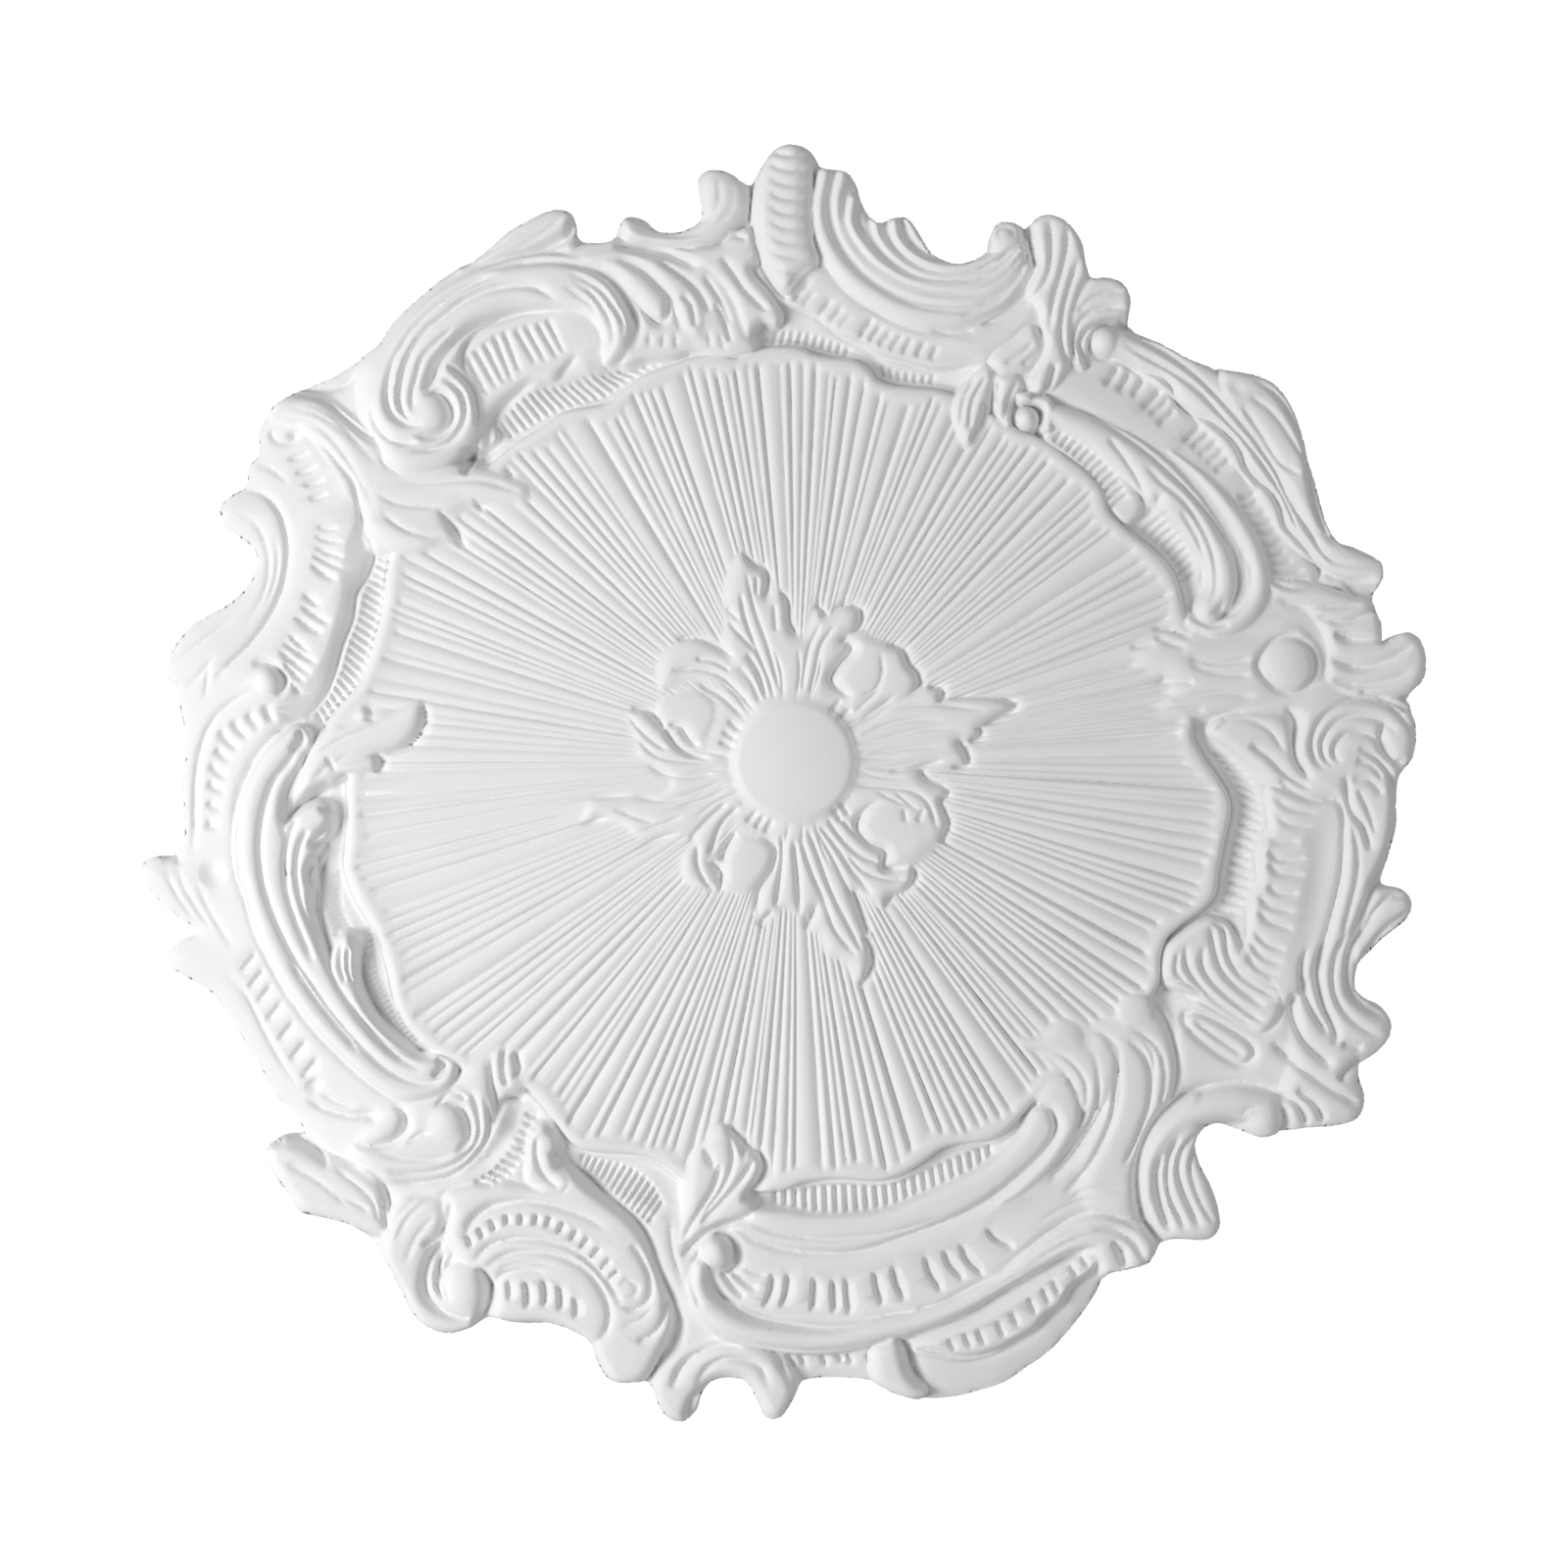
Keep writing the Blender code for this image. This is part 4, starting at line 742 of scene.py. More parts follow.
def right_eye(c):
    """Eye at the right with its leaves to both sides."""
    c.pad([(184, -67), (172, -61), (168, -55), (174, -49), (181, -45), (188, -42), (191, -36),
           (186, -30), (182, -25), (186, -21), (202, -22), (222, -26), (244, -30), (260, -34), (270, -48),
           (262, -66), (250, -72), (232, -66), (212, -66), (198, -68)], 26.5, 12.0, 4.5, 2.0)
    c.cuts(2.4, 2.8, [(183, -68), (192, -67), (203, -63)], [(184, -64), (192, -60), (200, -58)],
           [(201, -52), (216, -50), (233, -52)], [(202, -49), (216, -45), (233, -44)],
           [(193, -31), (215, -35), (235, -33)], [(172, -58), (184, -60)], [(186, -42), (204, -40)],
           [(183, -24), (198, -27), (210, -26)])
    c.pad([(240, -92), (252, -92), (270, -90), (286, -84), (298, -78), (300, -70), (301, -62), (312, -66),
           (321, -60), (323, -48), (316, -36), (300, -32), (284, -34), (272, -42), (272, -60), (262, -76),
           (246, -82)], 25.5, 6.0, 4.0, 4.0)
    c.cuts(2.6, 3.6, [(243, -91), (256, -88), (270, -90), (284, -86)], [(246, -84), (258, -80), (274, -79), (290, -80)],
           [(266, -74), (280, -71), (294, -76), (300, -81)])
    c.cuts((3.0, 4.6, 3.6, 2.4, 1.6), (3.5, 6.5, 4.5, 2.6, 1.0),
           [(275, -65), (281, -63), (288, -62), (295, -62), (303, -60)],
           [(273, -53), (280, -50), (290, -48), (302, -51), (316, -60)],
           [(274, -42), (281, -40), (292, -39), (303, -41), (316, -47)], ends=0.1)
    c.cuts((2.0, 4.0, 2.0), (2.0, 5.0, 2.0), [(280, -92), (286, -87), (289, -81)], ends=0.3)
    c.ball(252, -49, 13.0, 28.8, 3.2, 2.6)
    c.cuts(2.8, 4.2, [(258, -65), (247, -63), (240, -57), (236, -49), (241, -41), (249, -36), (258, -36)])


def right_whirl(c):
    """Whirl under the eye and the strands that run down from it."""
    c.pad([(212, -16), (222, -24), (238, -24), (250, -22), (256, -10), (262, 4), (276, 10), (277, 20),
           (262, 22), (248, 14), (236, 4), (224, -6)], 26.0, 5.0, 3.0, 4.0)
    c.pad([(258, -26), (272, -32), (292, -33), (312, -30), (317, -16), (315, -2), (308, 8), (308, 24),
           (305, 44), (297, 62), (288, 84), (280, 100), (268, 98), (275, 66), (278, 40), (277, 22),
           (262, 12), (254, -4), (256, -16)], 27.5, 7.0, 5.0, 4.0)
    c.cuts(2.2, 2.4, [(213, -14), (222, -20), (232, -21), (242, -16), (250, -5)], [(218, -21), (230, -25)])
    c.cuts(2.6, 3.6, [(232, -9), (242, -2), (252, 8), (264, 14)], [(247, 9), (256, 16), (264, 20), (276, 19)])
    c.cuts(3.0, 4.8, [(251, -28), (256, -20), (255, -10), (256, -1), (263, 9)])
    c.cuts(2.6, 4.0,
           [(316, -14), (306, -26), (292, -32), (279, -29), (269, -22), (264, -12), (265, -2), (272, 5)],
           [(307, -15), (297, -21), (285, -23), (275, -19), (269, -10), (270, -2), (276, 3)],
           [(300, -9), (291, -14), (282, -14), (276, -9), (275, -3), (279, 1)],
           [(287, -37), (300, -32), (314, -25)])
    c.cuts((3.0, 5.0, 3.0), (4.0, 6.5, 5.0), [(301, -21), (299, -10), (306, 0), (312, -1)])
    c.cuts(3.0, 5.0, [(287, -7), (297, -1), (304, 8), (307, 20), (306, 35), (302, 50), (295, 63), (293, 74)],
           [(281, 7), (282, 18), (285, 27), (290, 33), (294, 46)])
    c.cuts(2.4, 2.8, [(286, -1), (294, 2), (300, 9)], [(284, 10), (292, 9), (300, 17)],
           [(287, 14), (292, 24), (296, 37)], [(284, 32), (287, 45), (287, 58), (283, 75), (279, 90)],
           [(300, 58), (291, 74), (285, 90)])
    c.cuts(4.0, 6.0, [(278, 22), (278, 40), (278, 56), (275, 70), (271, 85), (268, 98)])
    c.pad([(296, 66), (304, 65), (312, 67), (315, 75), (307, 86), (297, 95), (288, 104), (284, 96), (289, 82)],
          25.5, 5.0, 4.0, 4.0)
    c.cuts(2.6, 3.8, [(314, 69), (304, 69), (297, 75), (291, 86), (284, 94)],
           [(314, 76), (303, 84), (294, 94), (286, 106)])


def right_cove(c):
    """Gadroons on the smooth wall and the ribs of the hollow at the right."""
    c.pad([(243, 14), (262, 20), (278, 22), (279, 50), (274, 76), (268, 98), (262, 112), (250, 124),
           (232, 118), (224, 104), (232, 90), (234, 70), (238, 60), (238, 44), (244, 34)], 26.5, 4.0, 2.5, 3.0, 1.0)
    for start, middle, end, deep in (
            ((243, 18), (254, 24), (269, 27), 3.6), ((244, 27), (253, 32), (267, 33), 3.8),
            ((242, 41), (250, 41), (258, 41), 3.0), ((241, 46), (248, 50), (263, 49), 4.6),
            ((241, 52), (248, 57), (263, 58), 4.6), ((241, 63), (247, 67), (258, 67), 4.2),
            ((236, 68), (243, 74), (257, 77), 4.6), ((236, 76), (243, 82), (256, 86), 4.6),
            ((234, 86), (241, 93), (251, 96), 4.2), ((232, 91), (238, 99), (249, 103), 4.6),
            ((230, 97), (237, 106), (248, 109), 4.2), ((227, 103), (234, 111), (247, 115), 4.0)):
        c.cut([start, middle, end], (3.2, 2.2), (deep, deep * 0.5), 0.2)
    c.rungs([(224, -2), (236, 12), (240, 30), (234, 50), (234, 66), (228, 80)],
            [(212, -6), (226, 12), (227, 30), (222, 50), (220, 66), (214, 78)], 18, 1.9, 3.4, 0.2)
    c.dish([(270, 20), (270, 50), (266, 78), (258, 106)], 12.0, 3.0, 0.35)


def right_low(c):
    """Shell, capsule and strands at the lower right."""
    c.pad([(190, 96), (198, 88), (212, 80), (222, 84), (230, 98), (244, 116), (248, 128), (238, 138),
           (222, 130), (206, 120), (190, 113)], 25.5, 4.0, 3.0, 4.0, 1.5)
    c.cuts(2.6, 4.0, [(200, 93), (200, 103), (205, 112), (215, 122), (228, 131), (237, 137)],
           [(209, 94), (208, 103), (212, 111), (220, 119), (230, 127), (240, 133)],
           [(212, 83), (215, 98), (218, 106), (226, 115), (240, 125)],
           [(213, 82), (219, 86), (221, 98), (225, 106), (234, 114), (247, 120)])
    c.cuts(2.2, 2.4, [(196, 97), (195, 107), (200, 113)], [(188, 112), (200, 113), (210, 121)],
           [(188, 116), (197, 118), (206, 123)])
    c.cut([(200, 129), (208, 129), (220, 135), (232, 143), (235, 150), (229, 155), (218, 150), (206, 141),
           (200, 134)], 2.8, 4.2, 0, True)
    c.cuts(2.4, 3.0, [(204, 132), (216, 141), (230, 150)])
    c.pad([(262, 92), (276, 84), (292, 80), (288, 100), (286, 116), (294, 124), (304, 132), (304, 141),
           (296, 149), (288, 155), (290, 170), (288, 183), (272, 187), (250, 187), (246, 176), (250, 160),
           (250, 140), (252, 118), (258, 102)], 25.5, 12.0, 5.0, 2.0)
    c.cuts(3.4, 6.0, [(270, 90), (267, 108), (270, 124), (276, 138), (276, 145)],
           [(254, 117), (255, 130), (260, 142), (268, 150), (275, 156)])
    c.cuts(3.0, 5.0, [(262, 94), (259, 103), (260, 116), (265, 128), (273, 140)],
           [(244, 143), (258, 156), (272, 166), (288, 175)], [(256, 167), (266, 175), (271, 184)],
           [(246, 170), (255, 173), (260, 180), (262, 186)], [(290, 152), (282, 158), (278, 163)])
    c.cuts(2.6, 3.8, [(282, 86), (276, 100), (275, 115), (280, 127), (290, 136), (300, 140)],
           [(293, 82), (284, 95), (282, 107), (284, 118), (292, 126), (303, 131)], [(279, 144), (290, 146)])
    # strands towards the foot
    c.pad([(150, 134), (164, 128), (178, 124), (190, 132), (197, 150), (195, 168), (188, 186), (184, 210),
           (170, 234), (148, 226), (144, 206), (152, 186), (154, 166), (144, 150)], 25.5, 12.0, 3.5, 1.0)
    c.ball(174, 128, 9.0, 26.2, 1.5)
    c.cuts(3.0, 4.6, [(181, 122), (188, 129), (193, 140), (196, 155), (195, 166), (190, 178)],
           [(154, 142), (156, 155), (158, 167), (157, 178), (150, 190), (140, 204), (130, 214)])
    c.cuts(2.6, 3.8, [(133, 148), (145, 154), (152, 164), (154, 176), (149, 188), (140, 200), (130, 212)],
           [(170, 142), (178, 149), (182, 160), (181, 175), (176, 190), (168, 207)],
           [(150, 137), (159, 140), (164, 146), (165, 156), (164, 168), (162, 182), (156, 197), (148, 210),
            (138, 221)])
    c.cuts(2.0, 2.2, [(172, 136), (182, 142), (188, 152), (189, 165), (186, 178)])


def bottom_right(c):
    """Turned knob at the lower right, and the gadrooned rim under the band."""
    c.pad([(124, 172), (129, 164), (135, 161), (142, 163), (147, 171), (147, 182), (142, 191), (132, 206),
           (118, 219), (104, 226), (118, 212), (130, 198), (135, 187), (132, 177)], 25.5, 5.0, 2.0, 2.0)
    c.cuts((2.0, 3.4, 3.2, 1.8), (3.0, 5.5, 5.5, 3.0), [(139, 162), (144, 166), (147, 174), (147, 182), (144, 188)])
    c.cuts(2.2, 2.4, [(104, 200), (111, 194), (116, 187), (120, 178), (127, 171), (132, 170)],
           [(122, 183), (118, 190), (108, 201)], ends=0.3)
    c.pad([(100, 263), (116, 251), (130, 241), (142, 234), (154, 230), (166, 232), (178, 238), (184, 248),
           (178, 258), (164, 261), (158, 262), (152, 250), (138, 253), (122, 263), (106, 272), (90, 280),
           (72, 288), (50, 296), (44, 286), (68, 280), (84, 273)], 26.0, 5.0, 3.0, 3.0)
    c.cuts(2.6, 3.6, [(62, 280), (72, 278), (82, 273), (92, 268), (103, 263), (112, 255), (124, 245), (136, 237),
                      (148, 232), (158, 231), (168, 234), (177, 238)], ends=0.04)
    c.cuts(1.8, 1.5, [(112, 258), (126, 248), (142, 239), (156, 237)], [(118, 258), (132, 249), (148, 242), (158, 241)],
           [(90, 272), (104, 267), (118, 259)], [(122, 238), (135, 229), (148, 224), (160, 224), (172, 226)],
           [(136, 226), (148, 219), (160, 217), (172, 219)], ends=0.3)
    c.cuts(3.0, 4.4, [(152, 239), (163, 239), (171, 243), (176, 249), (180, 257)], ends=0.3)
    c.cuts((2.0, 4.4, 3.0), (3.0, 6.5, 5.0), [(162, 244), (167, 250), (169, 258)])
    c.cuts((2.6, 4.2, 3.6, 2.4), (4.5, 6.0, 5.0, 3.6), [(54, 295), (75, 288), (92, 281), (106, 272), (120, 264),
                                                      (134, 256), (146, 250), (157, 247)])
    c.pad([(60, 300), (76, 292), (92, 285), (106, 277), (120, 269), (134, 261), (146, 253), (153, 249),
           (157, 254), (152, 262), (145, 266), (140, 272), (137, 278), (130, 283), (124, 290), (114, 296),
           (104, 302), (88, 306), (70, 304)], 23.5, 4.0, 2.0, 3.0)
    c.cut([(157, 254), (152, 262), (145, 266), (140, 272), (137, 278), (130, 283), (124, 290), (114, 296),
           (104, 301), (92, 304), (80, 303), (68, 300), (59, 299)], (2.8, 3.6, 3.6, 2.6), (4.0, 5.5, 5.0, 4.0), 0.05)
    for x, y, long in ((79, 294, 7), (87, 291, 8), (94, 289, 9), (104, 285, 9), (111, 280, 8), (120, 273, 9),
                       (127, 268, 9), (132, 264, 8), (141, 256, 7), (147, 252, 6)):
        c.gouge([(x, y), (x + 1, y + long / 2), (x + 4, y + long)], 4.5, 3.2)
    c.pad([(110, 136), (118, 140), (126, 139), (131, 133), (138, 131), (146, 135), (150, 143), (154, 139),
           (162, 142), (168, 150), (160, 172), (148, 178), (140, 160), (128, 150), (116, 145)], 26.0, 8.0, 3.0, 2.0)
    c.cuts(2.0, 2.8, [(117, 146), (128, 147), (139, 151), (148, 162), (149, 175), (145, 186)],
           [(150, 145), (154, 153), (155.5, 169), (152, 188), (143, 204), (130, 216)],
           [(159, 142), (165, 153), (166, 169), (161, 188), (150, 208), (137, 224)],
           [(176, 138), (183, 151), (182, 169), (176, 188), (169, 206)], ends=0.3)


def corner_fan(c):
    """Fluted fan at the lower right corner, with the band that rolls into it."""
    c.pad([(206, 170), (192, 178), (182, 188), (176, 202), (176, 220), (182, 236), (190, 244), (211, 244),
           (217, 239), (216, 228), (212, 214), (206, 203), (205, 194), (208, 186)], 26.5, 7.0, 4.0, 3.0)
    c.lay([(180, 224), (180, 206), (190, 189), (206, 179), (224, 175), (240, 178)], (3, 5, 6, 6.5, 7, 8),
          (26.5, 27, 27.5, 27.5, 27.5, 27.5), 1, 0, 4.5, 3.0)
    c.ball(240, 182, 9.0, 28.0, 4.5)
    c.cuts(1.8, 2.0, [(228, 181), (231, 177), (237, 177)], ends=0.4)
    c.cut([(248, 170), (236, 165), (220, 164), (205, 168), (193, 175), (183, 186), (177, 199), (175, 214),
           (177, 228), (183, 239), (190, 246)], (2.6, 3.0, 4.4, 5.0, 4.0), (3.5, 4.5, 6.5, 7.0, 6.0), 0.08)
    c.cuts((2.6, 4.0, 3.0), (3.5, 5.5, 4.0), [(249, 176), (251, 184), (248, 190)])
    c.cuts((2.6, 4.2, 4.0), (3.5, 6.0, 6.0), [(188, 199), (185, 211), (187, 226), (192, 240)])
    c.cuts(2.8, 4.4, [(197, 190), (191, 203), (191, 220), (200, 239)], [(206, 189), (198, 198), (196, 211), (207, 238)])
    c.cuts(2.2, 3.0, [(206, 195), (202, 206), (206, 222), (214, 236)])


def bottom(c):
    """Ribbed wall, smooth band, gadroons and scroll along the foot."""
    c.rungs([(-12, 229), (10, 231), (30, 231), (50, 228), (65, 222), (80, 215), (103, 203)],
            [(-12, 219), (10, 217), (30, 216), (48, 216), (63, 211), (78, 204), (102, 195)], 23, 2.2, 4.2, 0.12)
    c.pad([(-32, 240), (-24, 230), (-8, 230), (10, 232), (30, 232), (50, 229), (65, 223), (80, 216), (103, 204),
           (116, 191), (123, 178), (130, 177), (134, 188), (130, 198), (112, 214), (92, 228), (70, 237),
           (50, 244), (30, 250), (10, 250), (-10, 247)], 24.5, 5.0, 2.0, 3.0)
    c.cuts((2.0, 2.6, 2.0), (2.4, 3.0, 1.6), [(-24, 235), (-10, 240), (10, 243), (30, 243), (50, 240), (80, 231)])
    c.cuts(2.8, 3.8, [(-32, 238), (-20, 244), (-5, 249), (15, 251), (35, 250), (55, 243), (75, 236), (92, 228),
                      (106, 218), (120, 206), (130, 195), (134, 186), (131, 178), (125, 175)], ends=0.06)
    for x, y, long in ((-12, 261, 18), (-4, 261, 18), (10, 263, 18), (20, 264, 18), (27, 263, 20), (42, 260, 18),
                       (52, 257, 19), (69, 252, 19), (79, 249, 16), (88, 246, 17), (102, 238, 11)):
        lean = (x - 16) * 0.13
        c.gouge([(x - lean / 3, y), (x, y + long / 2), (x + lean, y + long)], 6.5, 4.4)
    # leaf that reaches into the field
    c.pad([(-58, 246), (-56, 228), (-55, 210), (-52, 200), (-46, 194), (-42, 188), (-36, 184), (-29, 190),
           (-24, 196), (-18, 200), (-15, 207), (-18, 215), (-24, 220), (-20, 226), (-24, 233), (-36, 238),
           (-46, 243)], 26.5, 7.0, 3.5, 2.5)
    c.cuts((2.4, 3.6, 3.4, 4.4, 3.0), (4.0, 6.0, 6.0, 8.0, 5.0),
           [(-36, 184), (-28, 191), (-23, 197), (-17, 201), (-15, 208), (-19, 216), (-25, 221)])
    c.cuts(2.8, 4.2, [(-37, 205), (-41, 218), (-49, 231), (-57, 245)], [(-20, 203), (-28, 215), (-39, 227), (-48, 236)])
    c.cuts(2.4, 3.4, [(-33, 191), (-31, 203), (-36, 217), (-47, 232)])
    c.cuts((2.0, 3.4, 2.0), (3.0, 5.0, 3.0), [(-46, 197), (-43, 202), (-40, 207)], [(-34, 186), (-27, 194), (-25, 203)],
           [(-27, 222), (-21, 223), (-18, 228)])
    c.cuts(3.2, 5.0, [(-20, 232), (-34, 236), (-46, 241), (-57, 253)])
    c.cuts(2.0, 2.0, [(-63, 231), (-62, 248), (-56, 268)], ends=0.25)
    # scroll: a round head and a body that runs to the right
    c.lay([(-48, 258), (-49, 266), (-46, 276), (-35, 285), (-18, 291), (4, 294), (24, 294), (44, 290), (66, 285),
           (90, 276), (112, 264)],
          (4, 7, 9, 8, 7.5, 6.5, 6, 5, 4, 3, 2), (28, 28.5, 29, 28.5, 28, 28, 27.5, 27, 27, 26, 25), 1, 0, 4.0, 3.0)
    c.ball(-39, 250, 7.5, 30.5, 4.0)
    c.cuts((3.0, 5.4, 4.6, 2.6), (4.0, 7.5, 7.5, 4.0), [(-42, 241), (-34, 243), (-30, 250), (-30, 258), (-36, 262)])
    c.cuts(2.2, 3.0, [(-57, 253), (-52, 246), (-45, 241)], [(-47, 248), (-51, 256), (-52, 266), (-47, 279)])
    c.cuts((3.0, 4.4, 3.2, 2.2, 2.0), (5.0, 7.0, 5.0, 3.0, 2.6),
           [(-42, 260), (-40, 268), (-35, 275), (-25, 282), (-10, 286), (10, 289), (26, 289), (38, 285),
            (50, 282), (66, 280)])
    c.cuts(2.2, 3.0, [(-48, 282), (-38, 290), (-20, 297), (0, 300), (22, 300), (38, 297)], ends=0.2)
    c.cuts(2.4, 4.0, [(-37, 260), (-31, 268), (-25, 274)], [(-33, 259), (-25, 266), (-18, 269)])
    c.cuts(1.8, 2.0, [(-28, 257), (-20, 261), (-14, 262)])
    # foot with its two lobes, and the knob beside it
    c.pad([(-70, 330), (-73, 318), (-66, 306), (-54, 298), (-36, 294), (-18, 296), (-6, 304), (1, 316),
           (-1, 328), (-8, 336), (-15, 334), (-20, 324), (-26, 316), (-36, 314), (-45, 318), (-50, 330),
           (-57, 338), (-65, 336)], 25.0, 7.0, 5.0, 3.0)
    c.cuts((2.6, 4.4, 3.4, 2.4), (4.0, 6.0, 4.5, 3.0), [(-62, 320), (-58, 310), (-49, 302), (-38, 298), (-26, 298)])
    c.cuts((2.0, 3.0, 2.2), (2.0, 4.4, 3.0), [(-24, 298), (-10, 302), (-5, 311), (0, 321)], ends=0.35)
    c.cuts(2.4, 3.6, [(-50, 318), (-45, 310), (-36, 305), (-26, 305), (-17, 309), (-12, 319)], ends=0.2)
    c.cuts((1.8, 3.2, 3.6), (2.0, 5.0, 6.0), [(-46, 319), (-52, 325), (-54, 335)], ends=0.1)
    for x, long in ((-3, 9), (3, 8), (14, 8), (22, 6), (27, 7), (37, 10)):
        c.gouge([(x, 302), (x + 1, 302 + long / 2), (x + 3, 302 + long)], 4.5, 3.4)
    c.pad([(40, 300), (47, 296), (54, 296), (58, 304), (61, 313), (68, 322), (60, 326), (48, 322), (40, 314)],
          25.5, 7.0, 4.0, 4.0, 2.0)
    c.cuts((3.6, 5.6, 3.0), (6.0, 8.0, 5.0), [(52, 293), (58, 300), (60, 309), (67, 321)])


def bottom_left(c):
    """C scroll at the lower left with its beads, gadroons and round head."""
    c.pad([(-178, 222), (-168, 217), (-150, 214), (-132, 216), (-122, 208), (-112, 210), (-98, 221), (-84, 232),
           (-75, 243), (-69, 258), (-64, 272), (-62, 286), (-68, 302), (-78, 316), (-92, 317), (-100, 304),
           (-104, 296), (-124, 286), (-146, 285), (-157, 282), (-156, 266), (-170, 254), (-178, 240)],
          27.5, 6.0, 4.0, 4.0, 1.0)
    c.cuts((4.0, 5.4, 4.0, 3.4, 3.6, 5.0, 5.0), (6.0, 8.0, 6.0, 5.0, 5.0, 7.0, 7.0),
           [(-119, 199), (-112, 207), (-101, 217), (-90, 226), (-80, 235), (-74, 245), (-70, 257), (-65, 268),
            (-61, 277), (-59, 287), (-62, 298), (-70, 308)])
    c.cuts((3.0, 4.4, 3.0, 2.2, 2.0), (4.5, 6.0, 4.0, 3.0, 2.0),
           [(-167, 242), (-164, 234), (-156, 228), (-146, 225), (-134, 224), (-120, 227), (-106, 232), (-94, 239)])
    for x, y, tilt in ((-167, 241, 3), (-161, 237, 3), (-155, 233, 3), (-147, 230, 1), (-139, 230, 0), (-131, 230, -1),
                       (-124, 231, -2), (-117, 234, -3), (-110, 238, -4), (-104, 242, -5), (-98, 247, -6), (-93, 253, -6),
                       (-89, 259, -7)):
        c.gouge([(x, y), (x + tilt / 2, y + 3.0), (x + tilt, y + 6.5)], 4.5, 4.0)
    c.cuts(2.6, 3.6,
           [(-163, 256), (-157, 248), (-148, 244), (-136, 243), (-122, 245), (-110, 250), (-100, 259), (-92, 269),
            (-87, 279)],
           [(-158, 259), (-150, 253), (-140, 250), (-128, 250), (-116, 253), (-106, 259), (-98, 269), (-94, 280),
            (-96, 291), (-103, 297)],
           [(-83, 245), (-77, 254), (-73, 264), (-74, 274), (-81, 279), (-88, 277)],
           [(-65, 273), (-66, 283), (-71, 291), (-80, 296)])
    c.cuts((4.0, 2.4, 1.6), (6.0, 3.0, 1.8), [(-155, 270), (-149, 262), (-138, 259), (-126, 260)])
    c.cuts(1.8, 1.8, [(-154, 262), (-146, 257), (-134, 255), (-120, 257)], [(-71, 277), (-78, 284), (-88, 288)],
           [(-89, 268), (-85, 264), (-80, 267), (-81, 272), (-86, 273)], ends=0.25)
    for x, y, long, deep in ((-146, 263, 12, 3.4), (-137, 264, 15, 4.6), (-128, 263, 15, 4.6), (-120, 266, 14, 4.6),
                             (-112, 272, 12, 3.4)):
        c.gouge([(x, y), (x + 1, y + long / 2), (x + 1, y + long)], 6.0, deep)
    # round head with the strands that turn round it
    c.pad([(-208, 232), (-200, 222), (-188, 221), (-178, 224), (-176, 234), (-180, 244), (-182, 254), (-180, 266),
           (-164, 272), (-154, 270), (-156, 284), (-170, 292), (-190, 289), (-202, 270), (-210, 254)],
          25.5, 7.0, 5.0, 3.0)
    c.ball(-167, 268, 12.0, 28.5, 3.2)
    c.cuts((3.0, 6.5, 6.5, 4.0), (6.0, 10.0, 10.0, 7.0), [(-161, 257), (-155, 267), (-156, 279), (-164, 289)])
    c.cuts((3.4, 4.6, 5.0, 3.4, 2.4), (5.0, 7.0, 7.0, 5.0, 3.0),
           [(-179, 244), (-185, 252), (-188, 262), (-187, 272), (-180, 280), (-170, 284), (-160, 283)])
    c.cuts(2.4, 3.6, [(-178, 250), (-182, 259), (-182, 268), (-178, 275)], [(-173, 250), (-177, 259), (-178, 268), (-175, 274)])
    c.cuts((2.4, 3.8, 2.8), (3.0, 5.5, 4.0), [(-190, 248), (-185, 245), (-180, 243)],
           [(-176, 221), (-175, 229), (-178, 238), (-184, 243)], ends=0.25)
    c.cuts(1.8, 1.8, [(-186, 224), (-196, 232), (-203, 246)], [(-192, 222), (-202, 232), (-207, 243)],
           [(-183, 232), (-192, 242), (-198, 256)], ends=0.25)
    c.rungs([(-111, 206), (-104, 214), (-96, 221), (-88, 228), (-80, 233), (-73, 237)],
            [(-109, 200), (-98, 203), (-88, 205), (-79, 209), (-71, 216), (-66, 226)], 14, 2.2, 4.2, 0.12)
    # small hook at the end of the ribs
    c.pad([(-136, 214), (-136, 200), (-135, 190), (-129, 185), (-122, 189), (-119, 197), (-122, 205), (-116, 214),
           (-120, 219)], 26.0, 4.0, 3.0, 3.0, 1.0)
    c.cuts((2.0, 4.0, 3.4), (3.0, 6.0, 5.0), [(-127, 187), (-121, 191), (-120, 198), (-124, 203)])
    c.cuts(2.4, 3.4, [(-131, 191), (-131, 202), (-127, 211), (-119, 217)])


